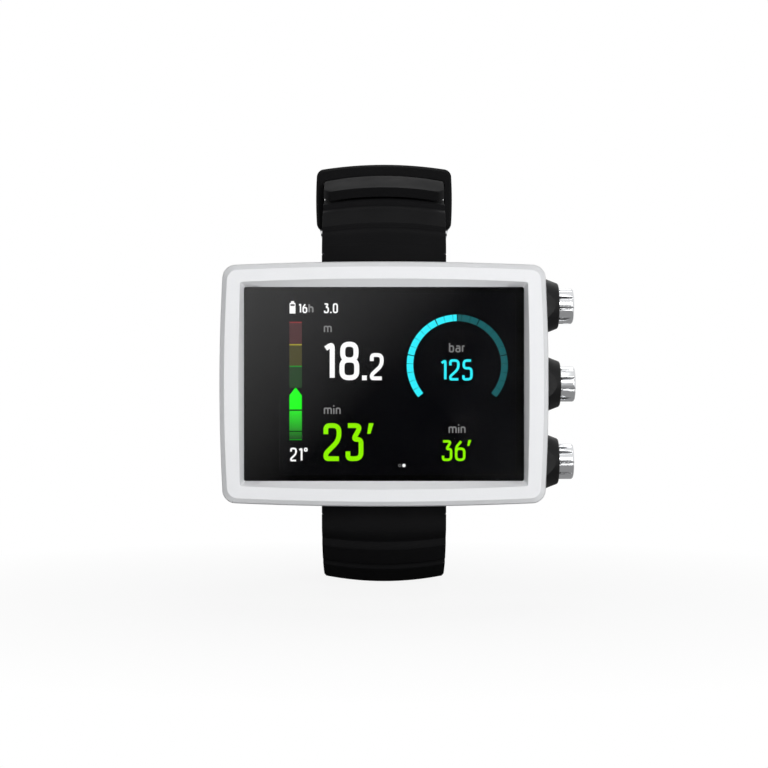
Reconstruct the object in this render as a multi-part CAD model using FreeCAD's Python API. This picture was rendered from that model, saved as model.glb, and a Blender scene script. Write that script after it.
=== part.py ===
"""Forearm dive computer: cased display, three side buttons and a buckled silicone strap.

Millimetres. The display faces -Y, the buttons are on +X and +Z is up when the display is read.
The origin is the centre of the rear cover's outer face.
"""
import FreeCAD, Part
import math
import os

from FreeCAD import Vector

# ---- display, and the window, bezel and case that are built outwards from it
DISPLAY_WIDTH = 68.7
DISPLAY_HEIGHT = 52.8
DISPLAY_THICKNESS = 2.4
DISPLAY_OFFSET_X = 4.0
WINDOW_SIDE_MARGIN = 2.3
WINDOW_END_MARGIN = 1.75
WINDOW_RADIUS = 0.6
SLOPE_SIDE_WIDTH = 0.95
SLOPE_END_WIDTH = 1.35
BEZEL_SIDE_WIDTH = 5.35
BEZEL_END_WIDTH = 5.15

# ---- case: depth, corners, and how far each side bows out at its middle
CASE_DEPTH = 21.0
SIDE_BOW = 1.05
END_BOW = 1.1
CORNER_RADIUS = 3.5

# ---- bezel
BEZEL_DEPTH = 5.5
BEZEL_CHAMFER_WIDTH = 2.1
BEZEL_CHAMFER_DEPTH = 2.3
BEZEL_LIP_SIDE_BOW = 0.45
BEZEL_LIP_END_BOW = 1.0
BEZEL_LAND = 0.4

# ---- glass
GLASS_RECESS = 2.8
GLASS_THICKNESS = 1.9
GLASS_OVERLAP = 1.3

# ---- housing
HOUSING_SETBACK = 0.45
HOUSING_WALL = 2.15
HOUSING_FRONT_WALL = 1.9
HOUSING_BACK_WALL = 2.0
HOUSING_TAPER_DEPTH = 3.4
HOUSING_TAPER_INSET = 3.2
HOUSING_BACK_STEP = 0.6
RIB_INSET = 2.0
RIB_WIDTH = 1.2
RIB_HEIGHT = 1.5

# ---- rear cover
COVER_THICKNESS = 2.6
COVER_INSET = 4.7
BACK_OPENING_INSET = 9.3
COVER_SCREW_INSET = 6.9
COVER_SCREW_RADIUS = 1.0
COVER_SCREW_HEAD_RADIUS = 1.7
COVER_SCREW_HEAD_DEPTH = 1.2
COVER_SCREW_LENGTH = 5.8
BOSS_RADIUS = 2.4
BOSS_HEIGHT = 3.4
REAR_SEAL_INSET = 8.2
REAR_SEAL_WIDTH = 0.8
REAR_SEAL_DEPTH = 0.8

# ---- inside
PLATE_CLEARANCE = 0.15
BRACKET_THICKNESS = 1.0
POST_RADIUS = 2.0
POST_HEIGHT = 1.1
BOARD_SIDE_GAP = 4.35
BOARD_END_GAP = 3.05
BOARD_THICKNESS = 1.2
CHIP_HEIGHT = 1.1
CHIPS = [(21.0, 20.0, 9.0, 7.0), (21.0, 6.0, 8.0, 8.0), (20.0, -6.0, 7.0, 6.0),
         (21.0, -20.0, 10.0, 8.0), (-38.0, 12.0, 3.0, 8.0), (-38.0, -4.0, 3.0, 10.0)]
TRAY_THICKNESS = 0.7
TRAY_GAP = 1.2
BATTERY_WIDTH = 46.0
BATTERY_HEIGHT = 36.0
BATTERY_ROUND = 2.0
BATTERY_ROUND_SHARE = 0.4       # the most that the rounding takes of the cell's thickness
BATTERY_X = -11.0
SENSOR_X = 26.0
SENSOR_Z = 13.0
SENSOR_RADIUS = 3.4
SENSOR_FLANGE_RADIUS = 4.6
SENSOR_FLANGE_DEPTH = 0.8
SENSOR_DEPTH = 6.0
SENSOR_COVER_RADIUS = 5.0
SENSOR_COVER_THICKNESS = 0.8
SENSOR_HOLE_RADIUS = 0.55
BUZZER_RADIUS = 6.5
BUZZER_THICKNESS = 1.0
BUZZER_Z = -12.0
CONTACT_RADIUS = 0.9
CONTACT_COLLAR_RADIUS = 1.35
CONTACT_PITCH = 3.6
CONTACT_COUNT = 4
CONTACT_Z = -21.5
CONTACT_LENGTH = 3.4

# ---- side buttons
BUTTON_TOP_INSET = 11.65
BUTTON_BOTTOM_INSET = 11.85
BUTTON_OFFSET_Y = 0.35
BUTTON_TRAVEL = 1.0
GUARD_LENGTH = 3.8
GUARD_BASE_RADIUS = 8.25
GUARD_END_RADIUS = 6.6
GUARD_ROUND = 0.8
RECESS_DEPTH = 2.6
CAP_RADIUS = 5.3
CAP_REACH = 4.4
CAP_WALL = 1.1
CAP_ROUND = 0.9
CAP_FLUTES = 12
FLUTE_RADIUS = 1.0
FLUTE_DEPTH = 0.35
CAP_SIDE_GAP = 0.4
STEM_RADIUS = 1.6
STEM_INNER_REACH = 2.2
GUIDE_RADIUS = 3.0
GUIDE_INNER_REACH = 0.85
RUNNING_CLEARANCE = 0.05
O_RING_RADIUS = 0.24
O_RING_GROOVE_RADIUS = 1.05
CLIP_RADIUS = 2.7
CLIP_THICKNESS = 0.5
CLIP_GROOVE_RADIUS = 1.15
CLIP_GAP = 0.15
SPRING_RADIUS = 3.55
SPRING_WIRE = 0.55
SPRING_TURNS = 3
SWITCH_SIZE = 3.6
SWITCH_THICKNESS = 2.6
SWITCH_GAP = 0.3
SWITCH_BOARD_THICKNESS = 1.0
SWITCH_BOARD_MARGIN = 4.0

# ---- strap
STRAP_WIDTH = 37.0
STRAP_CROWN = 1.8
STRAP_CASE_GAP = 0.25
BLOCK_THICKNESS = 5.0
BLOCK_GROOVE = 3.2
BLOCK_LEAD = 0.7
BAND_THICKNESS = 2.9
KEEPER_BAND_THICKNESS = 6.0
TAIL_GAP = 0.5
TAIL_DROP = 5.2
TAIL_CORNER = 2.2
LUG_WIDTH = 18.0
LUG_RADIUS = 2.2
LUG_PIN_RADIUS = 1.2
LUG_PIN_BACK = 3.4
LUG_PIN_REACH = 3.3
LUG_GAP = 0.3
LUG_SCREW_RADIUS = 1.7
LUG_SCREW_LENGTH = 1.0
LUG_SCREW_SLOT_DEPTH = 0.5
LUG_SCREW_SLOT_WIDTH = 0.5
SLOT_WIDTH = 3.4
SLOT_LENGTH = 7.4
SLOT_PITCH = 10.5
SLOTS_BEFORE = 6
SLOTS_AFTER = 2
SLOT_FROM_CROSSING = 2.0

# ---- keeper
KEEPER_LENGTH = 8.0
KEEPER_Y = 34.0
KEEPER_SIDE_WALL = 2.5
KEEPER_TOP_WALL = 3.7
KEEPER_FLOOR_WALL = 2.4
KEEPER_SIDE_GAP = 0.55
KEEPER_TOP_GAP = 0.5
KEEPER_HEIGHT = 20.7
KEEPER_ROUND = 1.2

# ---- buckle
BAR_RADIUS = 1.1
BAR_LEVEL = 3.9
FRAME_PLACE = 6.5
FRAME_BAR_GAP = 0.3
FRAME_BAR_RADIUS = 1.3
FRAME_WALL = 2.4
FRAME_SIDE_GAP = 0.6
FRAME_ARM_RADIUS = 2.6
FRAME_NOTCH_RADIUS = 3.0
FRAME_NOTCH_DROP = 1.6
TANG_WIDTH = 2.6
TANG_THICKNESS = 1.4
TANG_EYE_RADIUS = 2.1
TANG_OVERHANG = 2.2
TANG_GAP = 0.2
TANG_NOTCH_GAP = 0.3

FIT_CLEARANCE = 0.15

FRONT_Y = -CASE_DEPTH
GLASS_FRONT_Y = FRONT_Y + GLASS_RECESS
GLASS_BACK_Y = GLASS_FRONT_Y + GLASS_THICKNESS
HOUSING_FRONT_Y = FRONT_Y + BEZEL_DEPTH
CAVITY_FRONT_Y = HOUSING_FRONT_Y + HOUSING_FRONT_WALL
COVER_FRONT_Y = -COVER_THICKNESS
HOUSING_BACK_Y = -HOUSING_BACK_STEP
CAVITY_BACK_Y = COVER_FRONT_Y - HOUSING_BACK_WALL
BRACKET_BACK_Y = CAVITY_FRONT_Y + BRACKET_THICKNESS
BOARD_FRONT_Y = BRACKET_BACK_Y + POST_HEIGHT
BOARD_BACK_Y = BOARD_FRONT_Y + BOARD_THICKNESS
TRAY_FRONT_Y = BOARD_BACK_Y + TRAY_GAP
TRAY_BACK_Y = TRAY_FRONT_Y + TRAY_THICKNESS
BUTTON_Y = (HOUSING_FRONT_Y + HOUSING_BACK_Y) / 2 - BUTTON_OFFSET_Y
WINDOW_HALF_WIDTH = DISPLAY_OFFSET_X + DISPLAY_WIDTH / 2 + WINDOW_SIDE_MARGIN
WINDOW_HALF_HEIGHT = DISPLAY_HEIGHT / 2 + WINDOW_END_MARGIN
LIP_HALF_WIDTH = WINDOW_HALF_WIDTH + SLOPE_SIDE_WIDTH
LIP_HALF_HEIGHT = WINDOW_HALF_HEIGHT + SLOPE_END_WIDTH
HALF_WIDTH = LIP_HALF_WIDTH + BEZEL_SIDE_WIDTH
HALF_HEIGHT = LIP_HALF_HEIGHT + BEZEL_END_WIDTH
BUTTON_PLACES = {"top": HALF_HEIGHT - BUTTON_TOP_INSET, "middle": 0.0,
                 "bottom": BUTTON_BOTTOM_INSET - HALF_HEIGHT}
STRAP_HALF = STRAP_WIDTH / 2
STRAP_START_Z = HALF_HEIGHT + END_BOW + STRAP_CASE_GAP
LUG_PIN_Z = HALF_HEIGHT + END_BOW - HOUSING_SETBACK + LUG_PIN_REACH
CAVITY_INSET = HOUSING_SETBACK + HOUSING_WALL
BOARD_LEFT_X = CAVITY_INSET + BOARD_SIDE_GAP - HALF_WIDTH
BOARD_HALF_HEIGHT = HALF_HEIGHT - CAVITY_INSET - BOARD_END_GAP

X_AXIS = Vector(1, 0, 0)
Y_AXIS = Vector(0, 1, 0)


# ---- plain shapes

def rod(x, y, z, radius, length, axis=Y_AXIS):
    """A cylinder from (x, y, z) along axis."""
    return Part.makeCylinder(radius, length, Vector(x, y, z), axis)


def block(x0, x1, y0, y1, z0, z1):
    """A box between two corners."""
    return Part.makeBox(x1 - x0, y1 - y0, z1 - z0, Vector(x0, y0, z0))


def slab(corner, along, up, across):
    """A block from one corner along three edges."""
    return Part.Face(Part.makePolygon([corner, corner + along, corner + along + up, corner + up,
                                       corner])).extrude(across)


def side_edge(start, middle, end):
    """An arc through three points, or a line where they are in line."""
    chord = (end - start).normalize()
    if (middle - start).cross(chord).Length < 1e-6:
        return Part.LineSegment(start, end).toShape()
    return Part.Arc(start, middle, end).toShape()


def bowed_block(half_width, half_height, side_bow, end_bow, radius, y0, y1):
    """A plate between y0 and y1 whose four sides bow outwards, with rounded corners."""
    corners = [Vector(sx * half_width, y0, sz * half_height)
               for sx, sz in ((1, -1), (1, 1), (-1, 1), (-1, -1))]
    crests = [Vector(half_width + side_bow, y0, 0), Vector(0, y0, half_height + end_bow),
              Vector(-half_width - side_bow, y0, 0), Vector(0, y0, -half_height - end_bow)]
    edges = [side_edge(corners[i], crests[i], corners[(i + 1) % 4]) for i in range(4)]
    plate = Part.Face(Part.Wire(edges)).extrude(Vector(0, y1 - y0, 0))
    uprights = [e for e in plate.Edges if abs(e.tangentAt(e.FirstParameter).dot(Y_AXIS)) > 0.99]
    return plate.makeFillet(radius, uprights)


def case_block(inset, y0, y1):
    """The case outline, set in by inset, between y0 and y1."""
    radius = max(CORNER_RADIUS - inset / 2, WINDOW_RADIUS)
    return bowed_block(HALF_WIDTH - inset, HALF_HEIGHT - inset, SIDE_BOW, END_BOW, radius, y0, y1)


def window_block(margin, y0, y1):
    """The window outline, grown by margin, between y0 and y1."""
    return bowed_block(WINDOW_HALF_WIDTH + margin, WINDOW_HALF_HEIGHT + margin, 0, 0,
                       WINDOW_RADIUS, y0, y1)


def front_wire(plate):
    """The outline of a plate's front face."""
    front_y = min(v.Y for v in plate.Vertexes)
    return next(f for f in plate.Faces if max(v.Y for v in f.Vertexes) < front_y + 1e-6).OuterWire


def taper(front, back):
    """The solid between the front faces of two plates."""
    return Part.makeLoft([front_wire(front), front_wire(back)], True, True)


def ring(outer_inset, inner_inset, y0, y1):
    """A band that follows the case outline between two insets."""
    return case_block(outer_inset, y0, y1).cut(case_block(inner_inset, y0, y1))


def side_x(z):
    """The case side's X at a height, on the bowed side."""
    radius = (HALF_HEIGHT ** 2 + SIDE_BOW ** 2) / (2 * SIDE_BOW)
    return HALF_WIDTH + SIDE_BOW - radius + math.sqrt(radius ** 2 - z ** 2)


def fuse(shapes):
    """One solid from shapes that meet."""
    first, rest = shapes[0], shapes[1:]
    return (first.multiFuse(rest) if rest else first).removeSplitter()


def save(name, shape):
    """Write one node."""
    shape.exportStep(os.path.join("parts", name + ".step"))


# ---- case

def bezel():
    """Moulded front ring: chamfered outside, with a mitred slope down to the glass."""
    flat = case_block(BEZEL_CHAMFER_WIDTH, FRONT_Y, HOUSING_FRONT_Y)
    skirt = case_block(0, FRONT_Y + BEZEL_CHAMFER_DEPTH, HOUSING_FRONT_Y)
    body = taper(flat, skirt).fuse(skirt)
    land_y = GLASS_FRONT_Y - BEZEL_LAND
    lip = bowed_block(LIP_HALF_WIDTH, LIP_HALF_HEIGHT, BEZEL_LIP_SIDE_BOW, BEZEL_LIP_END_BOW,
                      WINDOW_RADIUS, FRONT_Y, HOUSING_FRONT_Y)
    land = window_block(0, land_y, HOUSING_FRONT_Y)
    slope = taper(lip, land)
    pocket = window_block(GLASS_OVERLAP + FIT_CLEARANCE, GLASS_FRONT_Y, HOUSING_FRONT_Y)
    groove = ring(RIB_INSET - FIT_CLEARANCE, RIB_INSET + RIB_WIDTH + FIT_CLEARANCE,
                  HOUSING_FRONT_Y - RIB_HEIGHT - FIT_CLEARANCE, HOUSING_FRONT_Y)
    return body.cut([slope, land, pocket, groove]).removeSplitter()


def cover_glass():
    """Flat cover glass behind the bezel's slope."""
    return window_block(GLASS_OVERLAP, GLASS_FRONT_Y, GLASS_BACK_Y)


def glass_seal():
    """Gasket between the glass and the housing."""
    back_y = HOUSING_FRONT_Y
    return window_block(GLASS_OVERLAP, GLASS_BACK_Y, back_y).cut(
        window_block(0, GLASS_BACK_Y, back_y))


def display_panel():
    """Colour display bonded to the back of the glass."""
    half = DISPLAY_WIDTH / 2
    return block(DISPLAY_OFFSET_X - half, DISPLAY_OFFSET_X + half, GLASS_BACK_Y,
                 GLASS_BACK_Y + DISPLAY_THICKNESS, -DISPLAY_HEIGHT / 2, DISPLAY_HEIGHT / 2)


def cover_screw_places():
    """Where the rear cover's screws stand: four corners and two mid-lengths."""
    x = HALF_WIDTH - COVER_SCREW_INSET
    z = HALF_HEIGHT - COVER_SCREW_INSET
    return [(sx * x, sz * z) for sx in (1, -1) for sz in (1, -1)] + [
        (0, z + END_BOW), (0, -z - END_BOW)]


def guard_end_x(z):
    """The outer end of the button guard at a height."""
    return side_x(z) + GUARD_LENGTH


def guard(z):
    """Domed collar round one button."""
    start_x = HALF_WIDTH - CAVITY_INSET
    base_x = side_x(z) - HOUSING_SETBACK
    neck = rod(start_x, BUTTON_Y, z, GUARD_END_RADIUS, base_x - start_x, X_AXIS)
    cone = Part.makeCone(GUARD_BASE_RADIUS, GUARD_END_RADIUS, guard_end_x(z) - base_x,
                         Vector(base_x, BUTTON_Y, z), X_AXIS)
    rim = [e for e in cone.Edges if e.BoundBox.XMin > guard_end_x(z) - 1e-6]
    cone = cone.makeFillet(GUARD_ROUND, rim)
    foot = rod(base_x - HOUSING_WALL, BUTTON_Y, z, GUARD_BASE_RADIUS, HOUSING_WALL, X_AXIS)
    whole = cone.fuse([neck, foot])
    reach = 2 * GUARD_BASE_RADIUS
    return whole.common(block(0, base_x + reach, HOUSING_FRONT_Y, HOUSING_BACK_Y,
                              z - reach, z + reach))


def guard_bore(z):
    """The recess for the cap and the hole for the guide."""
    floor_x = guard_end_x(z) - RECESS_DEPTH
    recess = rod(floor_x, BUTTON_Y, z, CAP_RADIUS + CAP_SIDE_GAP, RECESS_DEPTH, X_AXIS)
    inside_x = HALF_WIDTH - CAVITY_INSET - GUIDE_RADIUS
    return recess.fuse(rod(inside_x, BUTTON_Y, z, GUIDE_RADIUS, guard_end_x(z) - inside_x, X_AXIS))


def lug(side):
    """Tongue that carries the strap pin; side is 1 at the top and -1 at the bottom."""
    half = LUG_WIDTH / 2
    root_z = HALF_HEIGHT - CAVITY_INSET
    z0, z1 = sorted((side * root_z, side * LUG_PIN_Z))
    tongue = block(-half, half, -LUG_PIN_BACK - LUG_RADIUS, -LUG_PIN_BACK + LUG_RADIUS, z0, z1)
    nose = rod(-half, -LUG_PIN_BACK, side * LUG_PIN_Z, LUG_RADIUS, LUG_WIDTH, X_AXIS)
    hole = rod(-half, -LUG_PIN_BACK, side * LUG_PIN_Z, LUG_PIN_RADIUS + RUNNING_CLEARANCE,
               LUG_WIDTH, X_AXIS)
    return tongue.fuse(nose).cut(hole)


def housing():
    """Main body: walls, front ledge, button guards, strap lugs and screw bosses."""
    taper_y = HOUSING_BACK_Y - HOUSING_TAPER_DEPTH
    shell = case_block(HOUSING_SETBACK, HOUSING_FRONT_Y, taper_y)
    cone = taper(case_block(HOUSING_SETBACK, taper_y, 0),
                 case_block(HOUSING_TAPER_INSET, HOUSING_BACK_Y, 0))
    rib = ring(RIB_INSET, RIB_INSET + RIB_WIDTH, HOUSING_FRONT_Y - RIB_HEIGHT, HOUSING_FRONT_Y)
    solid = fuse([shell, cone, rib]).multiFuse([guard(z) for z in BUTTON_PLACES.values()])
    solid = solid.cut([
        window_block(0, HOUSING_FRONT_Y, CAVITY_FRONT_Y),
        case_block(CAVITY_INSET, CAVITY_FRONT_Y, CAVITY_BACK_Y),
        case_block(BACK_OPENING_INSET, CAVITY_BACK_Y, HOUSING_BACK_Y),
        case_block(COVER_INSET, COVER_FRONT_Y, HOUSING_BACK_Y),
        ring(REAR_SEAL_INSET, REAR_SEAL_INSET + REAR_SEAL_WIDTH,
             COVER_FRONT_Y - REAR_SEAL_DEPTH, COVER_FRONT_Y)])
    bosses = [rod(x, CAVITY_BACK_Y - BOSS_HEIGHT, z, BOSS_RADIUS, BOSS_HEIGHT)
              for x, z in cover_screw_places()]
    solid = solid.multiFuse(bosses + [lug(1), lug(-1)])
    holes = [rod(x, CAVITY_BACK_Y - BOSS_HEIGHT, z, COVER_SCREW_RADIUS + RUNNING_CLEARANCE,
                 BOSS_HEIGHT + HOUSING_BACK_WALL) for x, z in cover_screw_places()]
    return solid.cut(holes + [guard_bore(z) for z in BUTTON_PLACES.values()])


# ---- rear cover

def sensor_holes():
    """Six water holes round a centre one."""
    ring_radius = SENSOR_COVER_RADIUS / 2
    places = [(0, 0)] + [(ring_radius * math.cos(math.radians(a)),
                          ring_radius * math.sin(math.radians(a))) for a in range(0, 360, 60)]
    return [rod(SENSOR_X + x, -CASE_DEPTH, SENSOR_Z + z, SENSOR_HOLE_RADIUS, CASE_DEPTH)
            for x, z in places]


def contact_places():
    """The charging pins' X positions."""
    return [(i - (CONTACT_COUNT - 1) / 2) * CONTACT_PITCH for i in range(CONTACT_COUNT)]


def rear_cover():
    """Moulded back plate with screw seats, sensor port and contact holes."""
    plate = case_block(COVER_INSET + FIT_CLEARANCE, COVER_FRONT_Y, 0)
    outer = [e for e in plate.Edges if e.BoundBox.YMin > -1e-6]
    plate = plate.makeChamfer(HOUSING_BACK_STEP / 2, outer)
    cuts = [rod(SENSOR_X, COVER_FRONT_Y, SENSOR_Z, SENSOR_RADIUS + FIT_CLEARANCE, COVER_THICKNESS),
            rod(SENSOR_X, -SENSOR_COVER_THICKNESS, SENSOR_Z,
                SENSOR_COVER_RADIUS + FIT_CLEARANCE, SENSOR_COVER_THICKNESS)]
    for x, z in cover_screw_places():
        cuts.append(rod(x, COVER_FRONT_Y, z, COVER_SCREW_RADIUS + RUNNING_CLEARANCE,
                        COVER_THICKNESS))
        cuts.append(rod(x, -COVER_SCREW_HEAD_DEPTH, z,
                        COVER_SCREW_HEAD_RADIUS + FIT_CLEARANCE, COVER_SCREW_HEAD_DEPTH))
    cuts += [rod(x, COVER_FRONT_Y, CONTACT_Z, CONTACT_RADIUS + RUNNING_CLEARANCE, COVER_THICKNESS)
             for x in contact_places()]
    return plate.cut(cuts)


def rear_seal():
    """Square-section gasket in the housing's groove."""
    return ring(REAR_SEAL_INSET + RUNNING_CLEARANCE,
                REAR_SEAL_INSET + REAR_SEAL_WIDTH - RUNNING_CLEARANCE,
                COVER_FRONT_Y - REAR_SEAL_DEPTH, COVER_FRONT_Y)


def cover_screws():
    """Cap screws that hold the rear cover, each with a hexagon socket."""
    screws = []
    for x, z in cover_screw_places():
        head = rod(x, -COVER_SCREW_HEAD_DEPTH, z, COVER_SCREW_HEAD_RADIUS, COVER_SCREW_HEAD_DEPTH)
        shank = rod(x, -COVER_SCREW_HEAD_DEPTH - COVER_SCREW_LENGTH, z, COVER_SCREW_RADIUS,
                    COVER_SCREW_LENGTH)
        socket = hexagon(x, z, COVER_SCREW_HEAD_RADIUS / 2, COVER_SCREW_HEAD_DEPTH / 2)
        screws.append(head.fuse(shank).removeSplitter().cut(socket))
    return Part.makeCompound(screws)


def hexagon(x, z, radius, depth):
    """A hexagonal pocket opening at the back of the case."""
    points = [Vector(x + radius * math.cos(math.radians(a)), -depth,
                     z + radius * math.sin(math.radians(a))) for a in range(0, 361, 60)]
    return Part.Face(Part.makePolygon(points)).extrude(Vector(0, depth, 0))


def pressure_sensor():
    """Depth sensor: a can through the rear cover with a flange inside it."""
    front_y = COVER_FRONT_Y - SENSOR_DEPTH + COVER_THICKNESS
    can = rod(SENSOR_X, front_y, SENSOR_Z, SENSOR_RADIUS,
              -SENSOR_COVER_THICKNESS - front_y)
    flange = rod(SENSOR_X, COVER_FRONT_Y - SENSOR_FLANGE_DEPTH, SENSOR_Z, SENSOR_FLANGE_RADIUS,
                 SENSOR_FLANGE_DEPTH)
    return can.fuse(flange).removeSplitter()


def sensor_cover():
    """Perforated disc over the sensor port."""
    disc = rod(SENSOR_X, -SENSOR_COVER_THICKNESS, SENSOR_Z, SENSOR_COVER_RADIUS,
               SENSOR_COVER_THICKNESS)
    return disc.cut(sensor_holes())


def buzzer():
    """Piezo disc bonded inside the rear cover."""
    return rod(SENSOR_X, COVER_FRONT_Y - BUZZER_THICKNESS, BUZZER_Z, BUZZER_RADIUS,
               BUZZER_THICKNESS)


def charge_contacts():
    """Four plated pins through the rear cover, each with a collar inside it."""
    pins = []
    for x in contact_places():
        pin = rod(x, -CONTACT_LENGTH, CONTACT_Z, CONTACT_RADIUS, CONTACT_LENGTH)
        collar = rod(x, -CONTACT_LENGTH, CONTACT_Z, CONTACT_COLLAR_RADIUS,
                     CONTACT_LENGTH - COVER_THICKNESS)
        pins.append(pin.fuse(collar).removeSplitter())
    return Part.makeCompound(pins)


# ---- inside

def display_bracket():
    """Chassis plate behind the display, with a post at each corner for the board."""
    plate = case_block(CAVITY_INSET + PLATE_CLEARANCE, CAVITY_FRONT_Y, BRACKET_BACK_Y)
    posts = [rod(x, BRACKET_BACK_Y, z, POST_RADIUS, POST_HEIGHT) for x, z in board_corners()]
    return fuse([plate] + posts)


def board_corners():
    """Where the board is held."""
    z = BOARD_HALF_HEIGHT - 2 * POST_RADIUS
    return [(x, side * z) for x in (BOARD_LEFT_X + 2 * POST_RADIUS,
                                    switch_board_x() - 2 * POST_RADIUS) for side in (1, -1)]


def main_board():
    """Main circuit board, from near the left wall to the switch board."""
    return block(BOARD_LEFT_X, switch_board_x(), BOARD_FRONT_Y, BOARD_BACK_Y,
                 -BOARD_HALF_HEIGHT, BOARD_HALF_HEIGHT)


def board_components():
    """Chips and cans on the board's back, beside the battery."""
    return Part.makeCompound([
        block(x - w / 2, x + w / 2, BOARD_BACK_Y, BOARD_BACK_Y + CHIP_HEIGHT, z - h / 2, z + h / 2)
        for x, z, w, h in CHIPS])


def battery_tray():
    """Plate that carries the battery, on four feet that stand on the board."""
    x0, x1 = BATTERY_X - BATTERY_WIDTH / 2, BATTERY_X + BATTERY_WIDTH / 2
    z1 = BATTERY_HEIGHT / 2
    plate = block(x0, x1, TRAY_FRONT_Y, TRAY_BACK_Y, -z1, z1)
    feet = [rod(x, BOARD_BACK_Y, z, POST_RADIUS, TRAY_GAP)
            for x in (x0 + 2 * POST_RADIUS, x1 - 2 * POST_RADIUS)
            for z in (2 * POST_RADIUS - z1, z1 - 2 * POST_RADIUS)]
    return fuse([plate] + feet)


def battery():
    """Flat lithium cell between the tray and the rear cover."""
    cell = block(BATTERY_X - BATTERY_WIDTH / 2, BATTERY_X + BATTERY_WIDTH / 2, TRAY_BACK_Y,
                 COVER_FRONT_Y, -BATTERY_HEIGHT / 2, BATTERY_HEIGHT / 2)
    ends = [e for e in cell.Edges if e.BoundBox.ZLength > BATTERY_HEIGHT - 1e-6]
    thickness = COVER_FRONT_Y - TRAY_BACK_Y
    return cell.makeFillet(min(BATTERY_ROUND, BATTERY_ROUND_SHARE * thickness), ends)


# ---- side buttons

def guide_inner_x():
    """The inner end of the guides, inside the cavity wall."""
    return HALF_WIDTH - CAVITY_INSET - GUIDE_INNER_REACH


def button_guides():
    """Steel sleeves in the housing that the stems run in."""
    sleeves = []
    for z in BUTTON_PLACES.values():
        length = guard_end_x(z) - RECESS_DEPTH - guide_inner_x()
        sleeve = rod(guide_inner_x(), BUTTON_Y, z, GUIDE_RADIUS, length, X_AXIS)
        bore = rod(guide_inner_x(), BUTTON_Y, z, STEM_RADIUS + RUNNING_CLEARANCE, length, X_AXIS)
        sleeves.append(sleeve.cut(bore))
    return Part.makeCompound(sleeves)


def cap_base_x(z):
    """The inner edge of the cap, at rest."""
    return guard_end_x(z) - RECESS_DEPTH + BUTTON_TRAVEL + 2 * CLIP_GAP


def button_cap(z):
    """Fluted steel cap, hollow behind for its spring."""
    base_x, end_x = cap_base_x(z), guard_end_x(z) + CAP_REACH
    cap = rod(base_x, BUTTON_Y, z, CAP_RADIUS, end_x - base_x, X_AXIS)
    outer = [e for e in cap.Edges if e.BoundBox.XMin > end_x - 1e-6]
    cap = cap.makeFillet(CAP_ROUND, outer)
    centre = CAP_RADIUS + FLUTE_RADIUS - FLUTE_DEPTH
    flutes = [rod(base_x, BUTTON_Y + centre * math.cos(a), z + centre * math.sin(a),
                  FLUTE_RADIUS, end_x - base_x, X_AXIS)
              for a in (2 * math.pi * i / CAP_FLUTES for i in range(CAP_FLUTES))]
    hollow = rod(base_x, BUTTON_Y, z, CAP_RADIUS - CAP_WALL, cap_hollow_x(z) - base_x, X_AXIS)
    return cap.cut(flutes + [hollow])


def cap_hollow_x(z):
    """The floor of the cap's hollow."""
    return cap_base_x(z) + RECESS_DEPTH


def button_stem(z):
    """Steel stem from the cap to the switch, grooved for its O-ring and its clip."""
    start_x = guide_inner_x() - STEM_INNER_REACH
    stem = rod(start_x, BUTTON_Y, z, STEM_RADIUS, cap_hollow_x(z) - start_x, X_AXIS)
    seal = groove(seal_x(z) - O_RING_RADIUS, 2 * O_RING_RADIUS, z, O_RING_GROOVE_RADIUS)
    clip = groove(clip_x(), CLIP_THICKNESS, z, CLIP_GROOVE_RADIUS)
    return stem.cut([seal, clip])


def groove(x, length, z, floor_radius):
    """A ring-shaped cut round a button's axis."""
    outer = rod(x, BUTTON_Y, z, 2 * STEM_RADIUS, length, X_AXIS)
    return outer.cut(rod(x, BUTTON_Y, z, floor_radius, length, X_AXIS))


def seal_x(z):
    """The O-ring's place along the stem, well inside the guide."""
    return (guide_inner_x() + guard_end_x(z) - RECESS_DEPTH) / 2


def clip_x():
    """The retaining clip's inner face."""
    return guide_inner_x() - CLIP_GAP - CLIP_THICKNESS


def button_seal(z):
    """O-ring in the stem's groove."""
    return Part.makeTorus(O_RING_GROOVE_RADIUS + O_RING_RADIUS, O_RING_RADIUS,
                          Vector(seal_x(z), BUTTON_Y, z), X_AXIS)


def button_clip(z):
    """Open retaining clip on the stem's inner end."""
    disc = rod(clip_x(), BUTTON_Y, z, CLIP_RADIUS, CLIP_THICKNESS, X_AXIS)
    hole = rod(clip_x(), BUTTON_Y, z, CLIP_GROOVE_RADIUS, CLIP_THICKNESS, X_AXIS)
    mouth = block(clip_x(), clip_x() + CLIP_THICKNESS, BUTTON_Y - CLIP_GROOVE_RADIUS,
                  BUTTON_Y + CLIP_GROOVE_RADIUS, z - CLIP_RADIUS, z)
    return disc.cut([hole, mouth])


def button_spring(z):
    """Coiled return spring of square wire, between the recess floor and the cap."""
    start_x = guard_end_x(z) - RECESS_DEPTH
    length = cap_hollow_x(z) - start_x
    pitch = (length - SPRING_WIRE) / SPRING_TURNS
    coil = Part.makeHelix(pitch, pitch * SPRING_TURNS, SPRING_RADIUS)
    half = SPRING_WIRE / 2
    wire_section = Part.makePolygon([
        Vector(SPRING_RADIUS + x * half, 0, y * half)
        for x, y in ((-1, -1), (1, -1), (1, 1), (-1, 1), (-1, -1))])
    wire = Part.Wire(coil).makePipeShell([wire_section], True, True)
    wire.rotate(Vector(0, 0, 0), Y_AXIS, 90)
    wire.translate(Vector(start_x + half, BUTTON_Y, z))
    return wire


def switch_board_x():
    """The inner face of the switch board."""
    return switch_x() - SWITCH_THICKNESS - SWITCH_BOARD_THICKNESS


def switch_x():
    """The face of the switches, just past the stems' travel."""
    return guide_inner_x() - STEM_INNER_REACH - BUTTON_TRAVEL - SWITCH_GAP


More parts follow.
